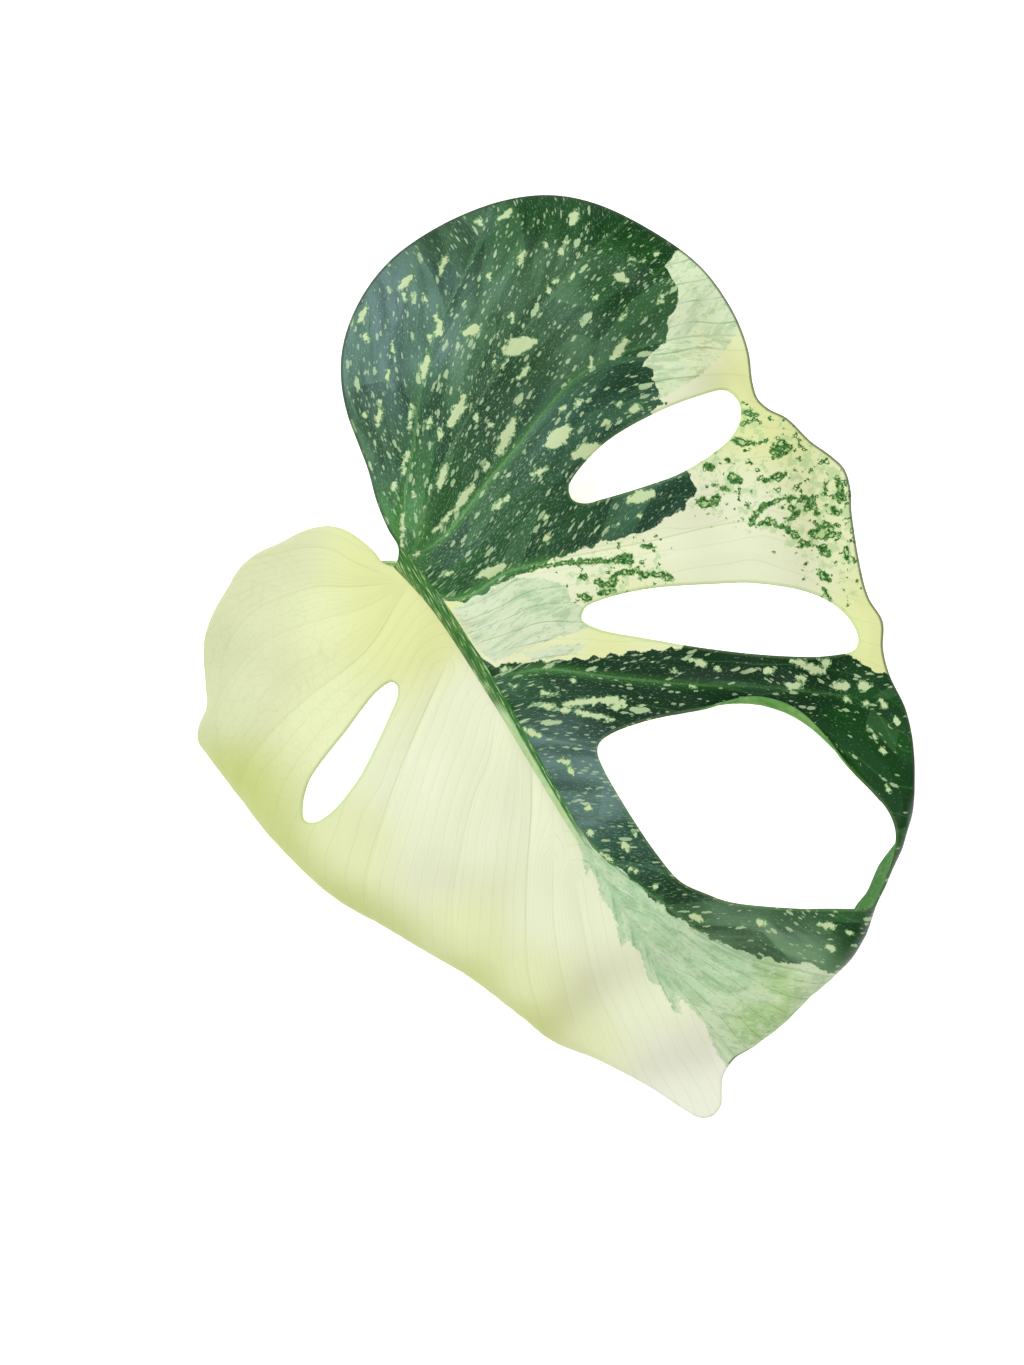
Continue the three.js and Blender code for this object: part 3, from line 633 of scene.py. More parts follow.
def vein_facts(veins, pts):
    """Where each point is between the veins, given clockwise, and its nearest real vein."""
    signed = []
    best = np.full(len(pts), 99.0)
    best_signed = np.full(len(pts), 99.0)
    width = np.zeros(len(pts))
    for half, line in veins:
        s, t = signed_vein(line, pts)
        signed.append(s)
        if not half:
            continue
        near = np.abs(s) < best
        best[near] = np.abs(s)[near]
        best_signed[near] = s[near]
        width[near] = (half * (1.15 - t) * np.clip(0.3 + t / 0.12, 0, 1))[near]
    signed = np.array(signed)
    count = (signed > 0).sum(axis=0)
    last = len(veins) - 1
    below = np.abs(np.take_along_axis(signed, np.clip(count - 1, 0, last)[None], 0)[0])
    above = np.abs(np.take_along_axis(signed, np.clip(count, 0, last)[None], 0)[0])
    between = count - 1 + below / (below + above + 1e-6)
    between = np.where(count == 0, -above / 20, between)
    between = np.where(count > last, last + below / 20, between)
    across = np.where(count > 0, below, -above) + 97.0 * count
    return {
        "between": between, "across": across, "far": best, "signed": best_signed, "width": width,
    }


def describe(pts):
    """Named values over the flat blade that its relief and its colours are worked out from."""
    rib = smooth(MIDRIB, False, 1.5)
    rib_far, rib_foot, _, rib_side = nearest(rib, pts)
    green, pale = vein_facts(GREEN_VEINS, pts), vein_facts(PALE_VEINS[::-1], pts)
    on_green = rib_side > 0
    facts = {
        key: np.where(on_green, green[key], pale[key])
        for key in ("between", "across", "far", "signed", "width")
    }
    facts["rib"] = rib_side * rib_far
    facts["rib_width"] = rib_foot[:, 2]
    facts["out"] = rib_far
    facts["on_green"] = on_green
    margin, *holes = [smooth(p, True, 1.2) for p in [MARGIN, *HOLES.values()]]
    facts["margin"] = nearest(margin, pts, closed=True)[0]
    facts["hole"] = np.min([nearest(h, pts, closed=True)[0] for h in holes], axis=0)
    return facts


def swell(facts, pts, height):
    """How far both skins swell between the veins, in mm. It dies away where the leaf lies flat."""
    near = np.minimum(facts["far"], np.abs(facts["rib"]) + 1)
    calm = np.clip(np.minimum(facts["margin"], facts["hole"]) / 6, 0, 1)
    pillow = np.where(facts["on_green"], 1.0, 0.4) * (1 - np.exp(-((near / 6.5) ** 2)))
    total = (pillow + 0.32 * ripple(pts, 11, 1)) * calm + 0.4 * ripple(pts, 26, 2)
    return total * np.clip(height / 6, 0, 1)


def grooves(facts, pts):
    """How deep the upper skin sinks along its veins, in mm."""
    vein = np.exp(-((facts["far"] / 1.1) ** 2)) * facts["width"]
    rib = np.exp(-((facts["rib"] / 1.5) ** 2)) * np.clip(facts["rib_width"], 0, 1.4)
    minor = np.sin(facts["between"] * 2 * math.pi * 7 + ripple(pts, 14, 3))
    fine = np.where(facts["on_green"], 0.045, 0.018) * np.clip(facts["out"] / 10, 0, 1)
    return 0.42 * vein + 0.42 * rib - minor * fine


def ridges(facts, pts):
    """How far the veins stand out from the back, in mm."""
    far, foot, passed, _ = nearest(smooth(RIB, False, 1), pts)
    share = np.clip(1 - (far / foot[:, 2]) ** 2, 0, 1)
    rib_length = 122
    fade = np.clip(passed / 3, 0, 1) * np.clip((rib_length - passed) / 70, 0, 1)
    midrib = 1.6 * foot[:, 2] * fade * np.sqrt(share)
    lateral = 0.75 * facts["width"] * np.exp(-((facts["far"] / 0.9) ** 2))
    return np.maximum(midrib, lateral)


def named_marks(marks):
    return [(x, y, linear(PALETTE[name])) for x, y, name in marks]


def linear(rgb):
    c = np.array(rgb) / 255
    return np.where(c <= 0.04045, c / 12.92, ((c + 0.055) / 1.055) ** 2.4)


def colour_facts(facts, pts):
    """Adds what the materials read: zones, flecks, colours and directions."""
    sage = np.max([depth_in(outline, pts) for outline in SAGE_AREAS.values()], axis=0)
    cream = np.max([depth_in(outline, pts) for outline in PALE_AREAS.values()], axis=0)
    pale = np.maximum(sage, cream)
    facts["sage"] = sage + 2 * np.clip(-cream, 0, 3)
    islands = depth_in_strokes(ISLANDS, pts)
    lobes = 0.35 * ripple(pts, 1.1, 5)
    facts["pale"] = pale + np.where(np.abs(facts["rib"]) > 3, 0.45, 0.1) * ripple(pts, 1.6, 4)
    facts["island"] = islands + lobes
    facts["splash"] = depth_in_strokes(SPLASHES, pts) + lobes
    facts["mottle"] = blend_marks(MOTTLE_MARKS, pts, 4)[:, 0]
    facts["speckle"] = blend_marks(SPECKLE_MARKS, pts, 8)[:, 0]
    facts["pale_colour"] = blend_marks(named_marks(PALE_MARKS), pts, 9)
    facts["sage_colour"] = blend_marks(named_marks(SAGE_MARKS), pts, 6)
    facts["green_colour"] = blend_marks(named_marks(GREEN_MARKS), pts, 8)
    return facts


# ---------- building the blade ----------
def to_scene(plan):
    return (plan + np.array(PLAN_TO_ROW)) * MM


def skin_points(pts, lift):
    """Where points of a skin lie, lift(facts, pts) being how far above the middle surface."""
    facts = describe(pts)
    place, normal = rest_and_normal(pts)
    height = swell(facts, pts, place[:, 2]) + lift(facts, pts)
    return place + normal * height[:, None], facts


TEXTURE_CORNER = (68, 143)  # mm, added to the plan so that both coordinates start near 0
FACE_SPAN = 240  # mm across the texture's whole square
BACK_SPAN = 540
BACK_SHIFT = (0.695, 0)


def face_uv(plan):
    """The upper skin's place in the texture: most of the square."""
    return (plan + TEXTURE_CORNER) / FACE_SPAN


def back_uv(plan):
    """The back's place in the texture, beside the face."""
    return (plan + TEXTURE_CORNER) / BACK_SPAN + BACK_SHIFT


def blade_mesh():
    top, back = Flat(SKIN_STEP), Flat(BACK_STEP)
    rim = top.rim_count
    edge_plan = top.pts[:rim] + top.rim_outwards() * EDGE_ROUND
    parts = [
        (top.pts, skin_points(top.pts, lambda f, p: FACE_LIFT - grooves(f, p))),
        (edge_plan, skin_points(edge_plan, lambda f, p: 0)),
        (back.pts, skin_points(back.pts, lambda f, p: -BACK_DROP - ridges(f, p))),
    ]
    plan = np.vstack([p for p, _ in parts])
    place = np.vstack([where for _, (where, _) in parts])
    place[:, 2] = np.maximum(place[:, 2], LOWEST)
    keys = parts[0][1][1].keys()
    facts = {key: np.concatenate([found[key] for _, (_, found) in parts]) for key in keys}

    edge_start = len(top.pts)
    back_start = edge_start + rim
    here = np.arange(rim)
    after = top.rim_next()
    upper = np.column_stack([after, here, edge_start + here, edge_start + after])
    lower = np.column_stack(
        [edge_start + after, edge_start + here, back_start + here, back_start + after]
    )
    faces = [*top.faces.tolist(), *upper.tolist(), *lower.tolist()]
    face_count = len(top.faces) + len(upper)
    faces += (back.faces[:, ::-1] + back_start).tolist()
    mesh = bpy.data.meshes.new("blade")
    mesh.from_pydata(to_scene(place).tolist(), [], faces)
    mesh.update()
    mesh.shade_smooth()
    is_back = np.arange(len(faces)) >= face_count
    mesh.polygons.foreach_set("material_index", is_back.astype(np.int32))
    give_uvs(mesh, plan, is_back)
    return mesh, plan, facts


def give_uvs(mesh, plan, is_back):
    corners = np.empty(len(mesh.loops), np.int32)
    mesh.loops.foreach_get("vertex_index", corners)
    sizes = np.empty(len(mesh.polygons), np.int32)
    mesh.polygons.foreach_get("loop_total", sizes)
    on_back = np.repeat(is_back, sizes)
    uv = np.where(on_back[:, None], back_uv(plan[corners]), face_uv(plan[corners]))
    mesh.uv_layers.new(name="OFBake").data.foreach_set("uv", uv.ravel())


def give_value(mesh, name, values):
    values = np.asarray(values, np.float32)
    kind = "FLOAT" if values.ndim == 1 else "FLOAT_VECTOR"
    layer = mesh.attributes.new(name, kind, "POINT")
    layer.data.foreach_set("value" if values.ndim == 1 else "vector", values.ravel())


def build_blade():
    mesh, plan, facts = blade_mesh()
    colour_facts(facts, plan)
    for name in (
        "rib", "rib_width", "far", "signed", "width", "between", "margin", "hole", "pale", "island",
        "splash", "mottle", "speckle", "sage", "pale_colour", "sage_colour", "green_colour",
    ):
        give_value(mesh, name, facts[name])
    give_value(mesh, "plan", np.column_stack([plan, np.zeros(len(plan))]))
    along = np.hypot(*plan.T)
    flow = np.column_stack([along, facts["across"], np.zeros(len(plan))])
    give_value(mesh, "flow", flow)
    mesh.materials.append(face_material())
    mesh.materials.append(back_material())
    blade = bpy.data.objects.new("blade", mesh)
    bpy.context.scene.collection.objects.link(blade)
    return blade


# ---------- building the stalk ----------
STALK_SIDES = 40
STALK_STEP = 0.7  # mm between rings
STALK_GROOVE = 0.28  # mm, along its upper side
GROOVE_TURN = 0.4  # radians, the groove's half width
CUT_RINGS = (0.86, 0.6, 0.3)  # shares of the last ring's radius
CUT_DISH = 0.25  # mm


def stalk_rings():
    """Rings of points round the stalk, from inside the midrib to the cut end."""
    line = smooth(STALK, False, STALK_STEP)
    along = np.gradient(line[:, :3], axis=0)
    along /= np.linalg.norm(along, axis=1)[:, None]
    across = np.cross(along, (0, 0, 1))
    across /= np.linalg.norm(across, axis=1)[:, None]
    up = np.cross(across, along)
    turn = np.linspace(0, 2 * math.pi, STALK_SIDES, endpoint=False)
    rings = []
    for i, (centre, side, rise) in enumerate(zip(line, across, up)):
        groove = STALK_GROOVE * np.exp(-(((turn - math.pi / 2) / GROOVE_TURN) ** 2))
        ribs = 0.05 * np.sin(turn * 9 + 0.02 * i) + 0.04 * math.sin(i * 0.37)
        radius = centre[3] + ribs - groove
        offset = np.cos(turn)[:, None] * side + np.sin(turn)[:, None] * rise
        rings.append(centre[:3] + offset * radius[:, None])
    return rings, line[-1, :3], along[-1]


def band(first):
    """Faces between the ring of points that starts at first and the next one."""
    following = first + STALK_SIDES
    faces = []
    for k in range(STALK_SIDES):
        n = (k + 1) % STALK_SIDES
        faces.append((first + k, first + n, following + n, following + k))
    return faces


def stalk_mesh():
    """The stalk's mesh, its points and the number of rings along its skin."""
    rings, end, ahead = stalk_rings()
    cut = [end + (rings[-1] - end) * share - ahead * CUT_DISH * (1 - share) for share in CUT_RINGS]
    points = np.vstack([*rings, *cut, end - ahead * CUT_DISH, rings[0].mean(axis=0)])
    points[:, 2] = np.maximum(points[:, 2], LOWEST)
    middle, root = len(points) - 2, len(points) - 1
    last = (len(rings) + len(cut) - 1) * STALK_SIDES
    faces = [face for first in range(0, last, STALK_SIDES) for face in band(first)]
    faces += [(last + k, last + (k + 1) % STALK_SIDES, middle) for k in range(STALK_SIDES)]
    cut_end = len(faces)
    faces += [((k + 1) % STALK_SIDES, k, root) for k in range(STALK_SIDES)]
    mesh = bpy.data.meshes.new("stalk")
    mesh.from_pydata(to_scene(points).tolist(), [], faces)
    mesh.update()
    mesh.shade_smooth()
    cut_start = (len(rings) - 1) * STALK_SIDES
    for i, polygon in enumerate(mesh.polygons):
        polygon.material_index = int(cut_start <= i < cut_end)
    return mesh, points, len(rings)


def build_stalk():
    mesh, points, ring_count = stalk_mesh()
    run = np.zeros(len(points))
    run[: ring_count * STALK_SIDES] = np.repeat(np.arange(ring_count) * STALK_STEP, STALK_SIDES)
    turn = np.tile(np.linspace(0, 1, STALK_SIDES, endpoint=False), len(points))
    circle = turn[: len(points)] * 2 * math.pi
    give_value(mesh, "round", np.column_stack([np.cos(circle), np.sin(circle), run]))
    give_value(mesh, "plan", points)
    mesh.materials.append(stalk_material())
    mesh.materials.append(cut_material())
    stalk = bpy.data.objects.new("stalk", mesh)
    bpy.context.scene.collection.objects.link(stalk)
    return stalk


# ---------- materials ----------
SKY_TINT = (0.72, 0.86, 1)


class Painter:
    """Builds one Principled material; every method returns an output socket."""

    def __init__(self, name):
        self.material = bpy.data.materials.new(name)
        self.material.use_nodes = True
        self.tree = self.material.node_tree
        self.shader = self.tree.nodes["Principled BSDF"]

    def put(self, socket, value):
        if isinstance(value, bpy.types.NodeSocket):
            self.tree.links.new(value, socket)
        elif hasattr(socket.default_value, "__len__"):
            value = tuple(value)
            socket.default_value = value + (1.0,) * (len(socket.default_value) - len(value))
        else:
            socket.default_value = value

    def attribute(self, name, colour=False):
        node = self.tree.nodes.new("ShaderNodeAttribute")
        node.attribute_name = name
        return node.outputs["Vector" if colour else "Fac"]

    def sum(self, operation, a, b=0.0, c=0.0):
        node = self.tree.nodes.new("ShaderNodeMath")
        node.operation = operation
        for socket, value in zip(node.inputs, (a, b, c)):
            self.put(socket, value)
        return node.outputs[0]

    def times(self, a, b):
        return self.sum("MULTIPLY", a, b)

    def step(self, value, low, high):
        """0 below low, 1 above high, smooth between; low may be above high."""
        node = self.tree.nodes.new("ShaderNodeMapRange")
        node.interpolation_type = "SMOOTHSTEP"
        flip = low > high
        self.put(node.inputs["Value"], value)
        self.put(node.inputs["From Min"], min(low, high))
        self.put(node.inputs["From Max"], max(low, high))
        self.put(node.inputs["To Min"], 1.0 if flip else 0.0)
        self.put(node.inputs["To Max"], 0.0 if flip else 1.0)
        return node.outputs["Result"]

    def mix(self, share, a, b, kind="MIX"):
        node = self.tree.nodes.new("ShaderNodeMix")
        node.data_type = "RGBA"
        node.blend_type = kind
        self.put(node.inputs[0], share)
        self.put(node.inputs[6], a)
        self.put(node.inputs[7], b)
        return node.outputs[2]

    def stretch(self, vector, scale):
        node = self.tree.nodes.new("ShaderNodeVectorMath")
        node.operation = "MULTIPLY"
        self.put(node.inputs[0], vector)
        self.put(node.inputs[1], scale)
        return node.outputs[0]

    def noise(self, vector, scale, detail=2.0, rough=0.5, twist=0.0):
        node = self.tree.nodes.new("ShaderNodeTexNoise")
        self.put(node.inputs["Vector"], vector)
        self.put(node.inputs["Scale"], scale)
        self.put(node.inputs["Detail"], detail)
        self.put(node.inputs["Roughness"], rough)
        self.put(node.inputs["Distortion"], twist)
        return node.outputs["Fac"]

    def add(self, a, b):
        node = self.tree.nodes.new("ShaderNodeVectorMath")
        node.operation = "ADD"
        self.put(node.inputs[0], a)
        self.put(node.inputs[1], b)
        return node.outputs[0]

    def streaks(self, vector, along, across, detail, rough=0.5):
        """Noise with a scale of its own along the vector's X and along its Y."""
        return self.noise(self.stretch(vector, (along, across, 1)), 1.0, detail, rough)

    def lay(self, base, mask, strength, colour):
        """A colour laid over the base where the mask is 1, at a strength from 0 to 1."""
        return self.mix(self.times(mask, strength), base, rgb(colour))

    def noise_colour(self, vector, scale):
        node = self.tree.nodes.new("ShaderNodeTexNoise")
        self.put(node.inputs["Vector"], vector)
        self.put(node.inputs["Scale"], scale)
        return node.outputs["Color"]

    def part(self, vector, letter):
        node = self.tree.nodes.new("ShaderNodeSeparateXYZ")
        self.put(node.inputs[0], vector)
        return node.outputs[letter]

    def cells(self, vector, scale, feature="F1"):
        node = self.tree.nodes.new("ShaderNodeTexVoronoi")
        node.feature = feature
        self.put(node.inputs["Vector"], vector)
        self.put(node.inputs["Scale"], scale)
        return node.outputs["Distance"], node.outputs.get("Color")

    def bump(self, height, depth, strength=1.0):
        node = self.tree.nodes.new("ShaderNodeBump")
        self.put(node.inputs["Height"], height)
        self.put(node.inputs["Distance"], depth)
        self.put(node.inputs["Strength"], strength)
        self.put(self.shader.inputs["Normal"], node.outputs[0])

    def finish(self, colour, rough, specular=0.5):
        self.put(self.shader.inputs["Base Color"], colour)
        self.put(self.shader.inputs["Roughness"], rough)
        self.put(self.shader.inputs["Specular IOR Level"], specular)
        self.put(self.shader.inputs["Specular Tint"], SKY_TINT)
        return self.material


def rgb(name_or_values):
    return tuple(linear(PALETTE.get(name_or_values, name_or_values)))


def ragged(p, name, noise, span, shift):
    """How deep inside a patch each point lies, in mm, its edge made ragged by noise."""
    return p.sum("ADD", p.attribute(name), p.sum("MULTIPLY_ADD", noise, span, shift))


def vein_net(p, plan):
    """The faint net of the finest veins: 1 on its lines."""
    wobble = p.mix(0.06, plan, p.noise_colour(plan, 0.5))
    distance, _ = p.cells(wobble, 0.42, "DISTANCE_TO_EDGE")
    return p.step(distance, 0.05, 0.012)


def minor_veins(p, plan):
    """The finer parallel veins between the main ones: 1 on their lines."""
    spread = p.times(p.attribute("between"), 20.0)
    bent = p.sum("MULTIPLY_ADD", p.noise(plan, 0.05, 1), 3.5, spread)
    wave = p.sum("PINGPONG", bent, 1.5)
    return p.step(wave, 0.14, 0.02)


def flecks(p, flow, amount, size):
    """Elongated flecks lying along the veins, size being their spacing in mm: 1 on them."""
    wobble = p.stretch(p.noise_colour(flow, 1.3 / size), (size, size * 0.5, 0))
    bend = p.add(flow, wobble)
    distance, random = p.cells(p.stretch(bend, (0.42 / size, 1.1 / size, 1)), 1.0)
    chosen = p.step(p.sum("SUBTRACT", p.part(random, "X"), amount), 0.0, -0.02)
    radius = p.sum("MULTIPLY_ADD", p.sum("POWER", p.part(random, "Y"), 2.0), 0.3, 0.14)
    ragged = p.sum("MULTIPLY_ADD", p.noise(flow, 2.6, 3, 0.7), 0.34, distance)
    depth = p.sum("SUBTRACT", p.sum("MULTIPLY_ADD", radius, chosen, 0.17), ragged)
    return p.times(p.step(depth, -0.03, 0.05), chosen)


def vein_line(p, half):
    """The middle line of each main vein, half its width in mm: 1 on it."""
    line = p.step(p.sum("ABSOLUTE", p.attribute("signed")), half * 1.3, half * 0.5)
    near = p.step(p.attribute("far"), half + 1.2, half + 0.8)
    strength = p.step(p.attribute("width"), -0.1, 0.75)
    return p.times(p.times(line, near), strength)


def green_ground(p, plan, flow):
    """The green half's colour, painted reflections of a window's sheen included, with its shades and
    veins.
    """
    base = p.attribute("green_colour", True)
    broad = p.streaks(flow, 0.05, 0.22, 3, 0.6)
    dark = p.mix(0.55, base, rgb("night_green"))
    base = p.mix(p.step(broad, 0.36, 0.6), dark, base)
    patch = p.part(p.cells(p.stretch(flow, (0.045, 0.13, 1)), 1.0)[1], "X")
    base = p.lay(base, p.step(patch, 0.55, 0.6), 0.35, "night_green")
    base = p.lay(base, p.step(patch, 0.3, 0.25), 0.22, (84, 128, 84))
    veins = minor_veins(p, plan)
    base = p.lay(base, veins, 0.16, (86, 140, 70))
    far = p.attribute("far")
    width = p.attribute("width")
    strong = p.sum("POWER", p.sum("MAXIMUM", width, 0.0), 1.8)
    halo = p.times(p.step(far, 1.9, 0.2), strong)
    base = p.lay(base, halo, 0.7, "bright")
    line = p.times(vein_line(p, 0.28), strong)
    base = p.lay(base, line, 0.45, (104, 156, 80))
    return base


def green_paint(p, plan, flow):
    """The green half: dust, flecks and cream patches over its ground."""
    base = green_ground(p, plan, flow)
    amount = p.attribute("speckle")
    dust = p.streaks(flow, 1.3, 3.4, 2, 0.6)
    high = p.sum("MULTIPLY_ADD", amount, -0.15, 0.67)
    dusting = p.step(p.sum("SUBTRACT", dust, high), 0.0, 0.05)
    base = p.lay(base, dusting, 0.45, (124, 160, 124))
    for size, share, strength in ((0.7, 0.9, 0.6), (1.1, 0.75, 0.75), (1.9, 0.3, 0.92)):
        fleck = flecks(p, flow, p.times(amount, share), size)
        base = p.mix(p.times(fleck, strength), base, rgb((174, 198, 150)))
    splash = ragged(p, "splash", p.noise(plan, 1.0, 5, 0.72), 3.0, -1.5)
    base = p.mix(p.step(splash, -0.3, 0.0), base, rgb((100, 142, 90)))
    base = p.mix(p.step(splash, 0.0, 0.2), base, rgb((192, 208, 158)))
    return base


def sage_paint(p, base, plan, flow):
    """Lays the greyer parts over the cream: mottled, with darker veins and yellower flecks."""
    sage = p.attribute("sage_colour", True)
    mottle = p.streaks(flow, 0.16, 0.42, 6, 0.68)
    sage = p.mix(p.step(mottle, 0.46, 0.58), sage, p.mix(0.4, sage, rgb((120, 162, 112))))
    veins = p.times(minor_veins(p, plan), 0.6)
    sage = p.mix(veins, sage, rgb((112, 154, 106)))
    light = p.step(p.streaks(flow, 0.09, 0.4, 4, 0.6), 0.5, 0.6)
    sage = p.lay(sage, light, 0.45, (210, 224, 194))
    patch = p.noise(plan, 0.22, 5, 0.66)
    sage = p.lay(sage, p.step(patch, 0.52, 0.58), 0.4, (208, 222, 184))
    sage = p.lay(sage, vein_line(p, 0.25), 0.6, (96, 140, 88))
    dust = p.streaks(flow, 0.8, 1.8, 4, 0.66)
    sage = p.lay(sage, p.step(dust, 0.56, 0.66), 0.45, (112, 154, 104))
    sage = p.lay(sage, p.step(dust, 0.4, 0.33), 0.6, (216, 226, 172))
    edge = ragged(p, "sage", p.noise(plan, 0.9, 5, 0.7), 2.6, -1.3)
    return p.mix(p.step(edge, -0.15, 0.25), base, sage)


def pale_ground(p, plan, flow):
    """The cream half's colour, painted shade along its rolled left margin included, with its veins and
    greyer parts.
    """
    base = p.attribute("pale_colour", True)
    cloud = p.streaks(flow, 0.07, 0.3, 3, 0.55)
    base = p.lay(base, p.step(cloud, 0.35, 0.7), 0.06, (196, 214, 150))
    veins = minor_veins(p, plan)
    base = p.lay(base, veins, 0.2, (180, 194, 126))
    base = p.lay(base, vein_line(p, 0.2), 0.5, (182, 192, 128))
    net = p.times(vein_net(p, plan), p.step(p.part(plan, "X"), -8.0, -24.0))
    net = p.times(net, p.step(p.part(plan, "Y"), -52.0, -18.0))
    base = p.lay(base, net, 0.13, (172, 180, 118))
    return sage_paint(p, base, plan, flow)


def pale_paint(p, plan, flow):
    """The cream half: mottling and green islands over its ground."""
    base = pale_ground(p, plan, flow)
    island = ragged(p, "island", p.noise(plan, 0.9, 4, 0.66), 2.6, -1.25)
    mottle = p.attribute("mottle")
    tint = p.sum("ADD", p.noise(plan, 0.35, 5, 0.7), p.times(mottle, 0.17))
    tinted = p.times(p.step(tint, 0.6, 0.68), p.step(mottle, 0.04, 0.3))
    base = p.lay(base, tinted, 0.7, (176, 206, 146))
    lace = p.step(p.noise(plan, 1.25, 3, 0.6), 0.44, 0.56)
    green = p.mix(lace, rgb((40, 86, 36)), rgb((84, 132, 64)))
    grain = p.sum("ADD", p.noise(plan, 0.5, 3, 0.55), p.times(mottle, 0.13))
    some = p.step(mottle, 0.06, 0.16)
    for low, high, colour in (
        (0.65, 0.69, rgb((156, 190, 122))), (0.68, 0.7, green), (0.74, 0.77, base),
    ):
        share = p.times(p.step(grain, low, high), some)
        base = p.mix(share, base, colour)
    base = p.mix(p.step(island, -0.3, 0.0), base, rgb((156, 190, 122)))
    hollow = p.times(p.step(p.noise(plan, 0.6, 2), 0.47, 0.53), p.step(island, 0.45, 0.6))
    filled = p.mix(hollow, green, rgb((178, 204, 136)))
    return p.mix(p.step(island, -0.05, 0.15), base, filled)


def pale_share(p, plan):
    rough_edge = p.sum("MULTIPLY_ADD", p.noise(plan, 0.8, 5, 0.7), 2.0, -1.0)
    calm = p.step(p.sum("ABSOLUTE", p.attribute("rib")), 2.5, 5)
    edge = p.sum("ADD", p.attribute("pale"), p.times(rough_edge, calm))
    return p.step(edge, -0.12, 0.12)


def midrib_paint(p, base, plan):
    side = p.sum("DIVIDE", p.attribute("rib"), p.attribute("rib_width"))
    on_rib = p.step(p.sum("ABSOLUTE", side), 1.05, 0.9)
    on_rib = p.times(on_rib, p.step(p.part(plan, "Y"), -80.0, -66.0))
    run = p.streaks(plan, 3.2, 0.25, 3)
    green = p.mix(p.step(run, 0.4, 0.62), rgb((50, 100, 42)), rgb((84, 136, 60)))
    green = p.lay(green, p.step(run, 0.58, 0.63), 0.75, (186, 206, 150))
    streak = p.noise(p.stretch(plan, (2.2, 0.3, 1)), 1.3, 2)
    strip = p.mix(p.step(streak, 0.4, 0.7), rgb((168, 200, 140)), rgb((196, 216, 160)))
    lower = p.step(p.part(plan, "Y"), -36.0, -42.0)
    band = p.mix(p.times(p.step(side, 0.15, -0.05), lower), green, strip)
    return p.mix(p.times(on_rib, 0.92), base, band)


def face_material():
    p = Painter("leaf_face")
    plan = p.attribute("plan", True)
    flow = p.attribute("flow", True)
    pale = pale_share(p, plan)
    base = p.mix(pale, green_paint(p, plan, flow), pale_paint(p, plan, flow))
    base = midrib_paint(p, base, plan)
    hole_rim = p.step(p.attribute("hole"), 0.55, 0.15)
    hole_rim = p.times(hole_rim, p.sum("MULTIPLY_ADD", pale, 0.3, 0.12))
    base = p.mix(hole_rim, base, rgb((176, 206, 138)))
    on_green = p.step(p.attribute("rib"), 0.0, 2.0)
    margin_rim = p.times(p.step(p.attribute("margin"), 0.55, 0.15), on_green)
    base = p.lay(base, margin_rim, 0.75, (66, 80, 60))
    fine = p.noise(plan, 2.2, 3)
    height = p.sum("MULTIPLY_ADD", minor_veins(p, plan), -0.8, p.times(fine, 0.5))
    p.bump(height, 0.00004, 0.6)
    green_rough = p.sum("MULTIPLY_ADD", fine, 0.12, 0.36)
    rough = p.sum("MULTIPLY_ADD", pale, 0.12, green_rough)
    return p.finish(base, rough, 0.18)


def back_material():
    p = Painter("leaf_back")
    plan = p.attribute("plan", True)
    cloud = p.noise(plan, 0.25, 3)
    green = p.mix(p.step(cloud, 0.35, 0.65), rgb((84, 140, 62)), rgb((122, 170, 88)))
    # Painted shade: the back is darker towards the tip, where its turned-over underside shows in shadow
    # by the wide hole.
    low = p.step(p.part(plan, "Y"), -96.0, -104.0)
    green = p.lay(green, low, 0.8, (48, 98, 40))
    splash = ragged(p, "splash", p.noise(plan, 1.6, 3, 0.65), 1.5, -0.75)
    green = p.lay(green, p.step(splash, -0.1, 0.2), 0.8, (190, 206, 150))
    pale = p.mix(0.25, p.attribute("pale_colour", True), rgb((206, 214, 150)))
    base = p.mix(pale_share(p, plan), green, pale)
    net = vein_net(p, plan)
    base = p.lay(base, net, 0.25, (136, 166, 96))
    base = p.lay(base, vein_line(p, 0.6), 0.6, (178, 200, 130))
    rib = p.step(p.sum("ABSOLUTE", p.attribute("rib")), 2.6, 1.6)
    base = p.lay(base, rib, 0.85, (178, 200, 122))
    p.bump(p.sum("MULTIPLY_ADD", net, 0.6, p.noise(plan, 2.0, 3)), 0.00008, 0.7)
    return p.finish(base, p.sum("MULTIPLY_ADD", cloud, 0.15, 0.5), 0.35)


def stalk_material():
    p = Painter("stalk_skin")
    around = p.attribute("round", True)
    streak = p.noise(p.stretch(around, (4, 4, 0.12)), 1.0, 3)
    base = p.mix(p.step(streak, 0.35, 0.68), rgb((92, 140, 62)), rgb((178, 198, 122)))
    speck = p.noise(p.stretch(around, (3, 3, 0.7)), 2.0, 3)
    base = p.lay(base, p.step(speck, 0.62, 0.7), 0.6, (216, 222, 168))
    p.bump(streak, 0.0001, 0.6)
    return p.finish(base, p.sum("MULTIPLY_ADD", speck, 0.15, 0.38))


def cut_material():
    p = Painter("stalk_cut")
    plan = p.attribute("plan", True)
    grain = p.noise(plan, 2.5, 3)
    distance, _ = p.cells(plan, 2.2)
    base = p.mix(p.step(grain, 0.35, 0.65), rgb((206, 214, 160)), rgb((172, 186, 118)))
    base = p.mix(p.step(distance, 0.2, 0.08), base, rgb((128, 138, 78)))
    p.bump(grain, 0.0002, 0.8)
    return p.finish(base, p.sum("MULTIPLY_ADD", grain, 0.2, 0.5))


# ---------- floor, camera and light ----------
FLOOR_HALF = 3.0  # m
FLOOR_GLOW = 0.75
ROOM_LIGHT = 0.2


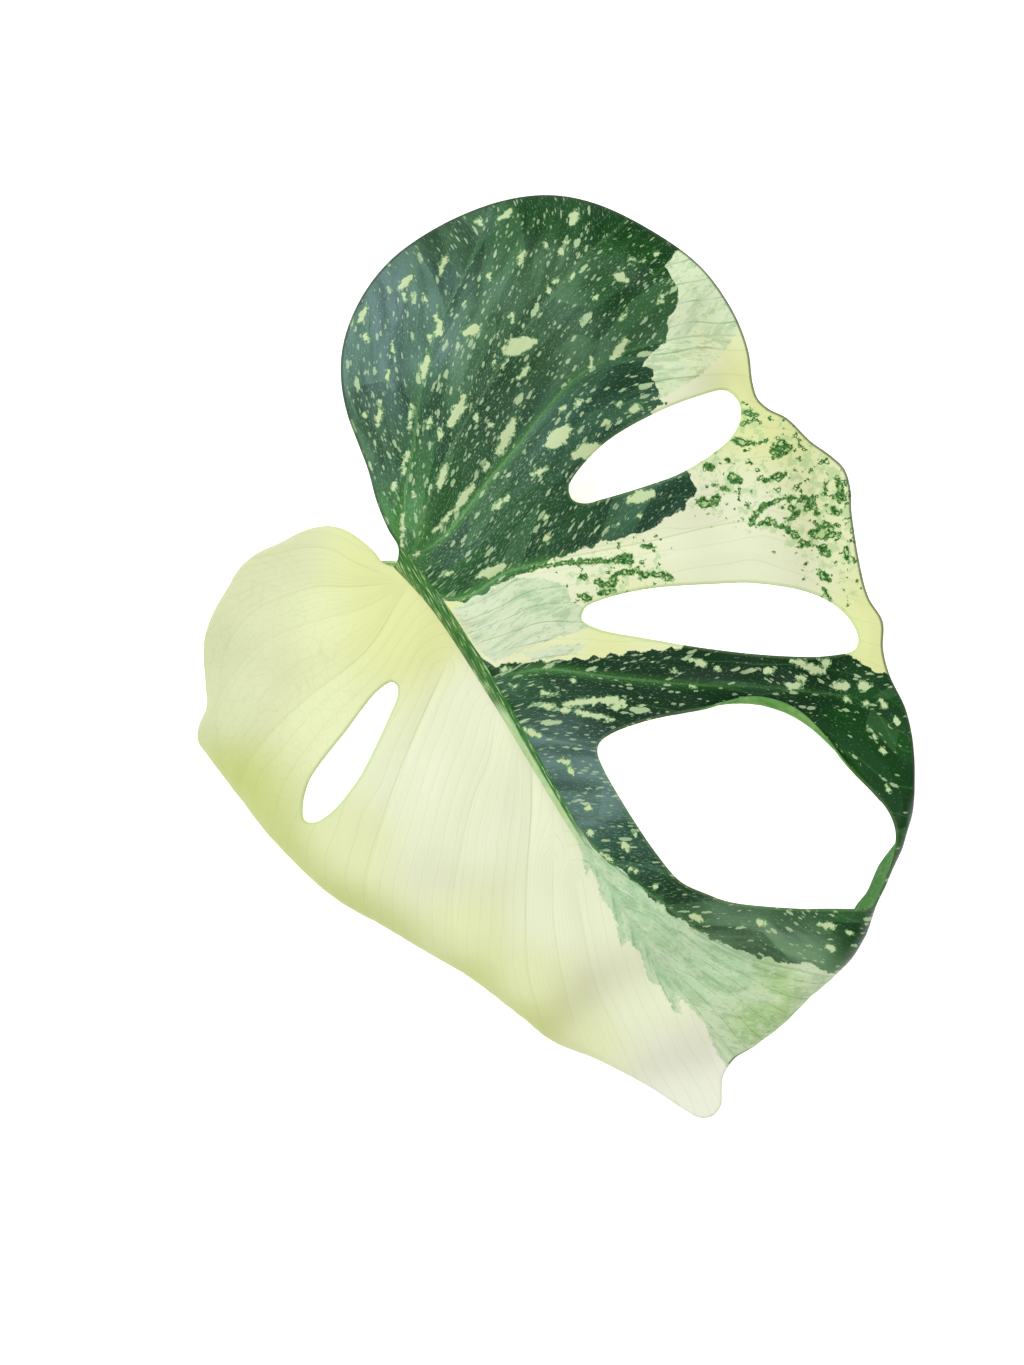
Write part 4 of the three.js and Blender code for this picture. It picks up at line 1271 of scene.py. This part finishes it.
def floor_material():
    p = Painter("floor")
    place = p.tree.nodes.new("ShaderNodeTexCoord").outputs["Object"]
    shade = p.noise(place, 3.0, 2)
    p.put(p.shader.inputs["Emission Color"], (1, 1, 1))
    p.put(p.shader.inputs["Emission Strength"], FLOOR_GLOW)
    return p.finish(p.mix(shade, (0.9, 0.9, 0.9), (0.93, 0.93, 0.93)), 0.8, 0.2)


def build_floor():
    mesh = bpy.data.meshes.new("floor")
    corners = [(x * FLOOR_HALF, y * FLOOR_HALF, 0) for x, y in ((-1, -1), (1, -1), (1, 1), (-1, 1))]
    mesh.from_pydata(corners, [], [(0, 1, 2, 3)])
    mesh.materials.append(floor_material())
    floor = bpy.data.objects.new("floor", mesh)
    bpy.context.scene.collection.objects.link(floor)


CAMERA_OVER = (-0.01005, 0.0045)
CAMERA_HEIGHT = 0.844
CAMERA_TURN = math.radians(-29.4)
CAMERA_LENS = 100


def build_camera():
    data = bpy.data.cameras.new("camera")
    data.lens = CAMERA_LENS
    data.sensor_width = 36
    data.sensor_fit = "AUTO"
    data.clip_start = 0.01
    camera = bpy.data.objects.new("camera", data)
    camera.location = (*CAMERA_OVER, CAMERA_HEIGHT)
    camera.rotation_euler = (0, 0, CAMERA_TURN)
    bpy.context.scene.collection.objects.link(camera)
    bpy.context.scene.camera = camera


def softbox(name, way, distance, size, power, colour=(1, 1, 1)):
    """A square soft light out along a way given in the picture's own right, up and toward."""
    cos, sin = math.cos(CAMERA_TURN), math.sin(CAMERA_TURN)
    right, up, toward = way
    direction = Vector((cos * right - sin * up, sin * right + cos * up, toward)).normalized()
    data = bpy.data.lights.new(name, "AREA")
    data.size = size
    data.energy = power
    data.color = colour
    light = bpy.data.objects.new(name, data)
    light.location = direction * distance
    light.rotation_euler = direction.to_track_quat("Z", "Y").to_euler()
    bpy.context.scene.collection.objects.link(light)


def build_lights():
    softbox("window", (-0.72, 0.66, 1), 1.7, 0.9, 13, (0.76, 0.88, 1))
    softbox("key", (-0.36, 0.3, 1), 2.0, 0.6, 17, (1, 0.965, 0.92))
    softbox("fill", (0.45, -0.4, 1), 2.0, 0.9, 12.5, (1, 0.97, 0.93))
    world = bpy.data.worlds.new("studio")
    world.use_nodes = True
    background = world.node_tree.nodes["Background"]
    background.inputs["Color"].default_value = (1, 1, 1, 1)
    background.inputs["Strength"].default_value = ROOM_LIGHT
    bpy.context.scene.world = world
    bpy.context.scene.view_settings.view_transform = "Standard"


# ---------- the scene ----------
for piece in (build_blade(), build_stalk()):
    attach(piece, "root")
    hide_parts(NODE)
build_floor()
build_camera()
build_lights()
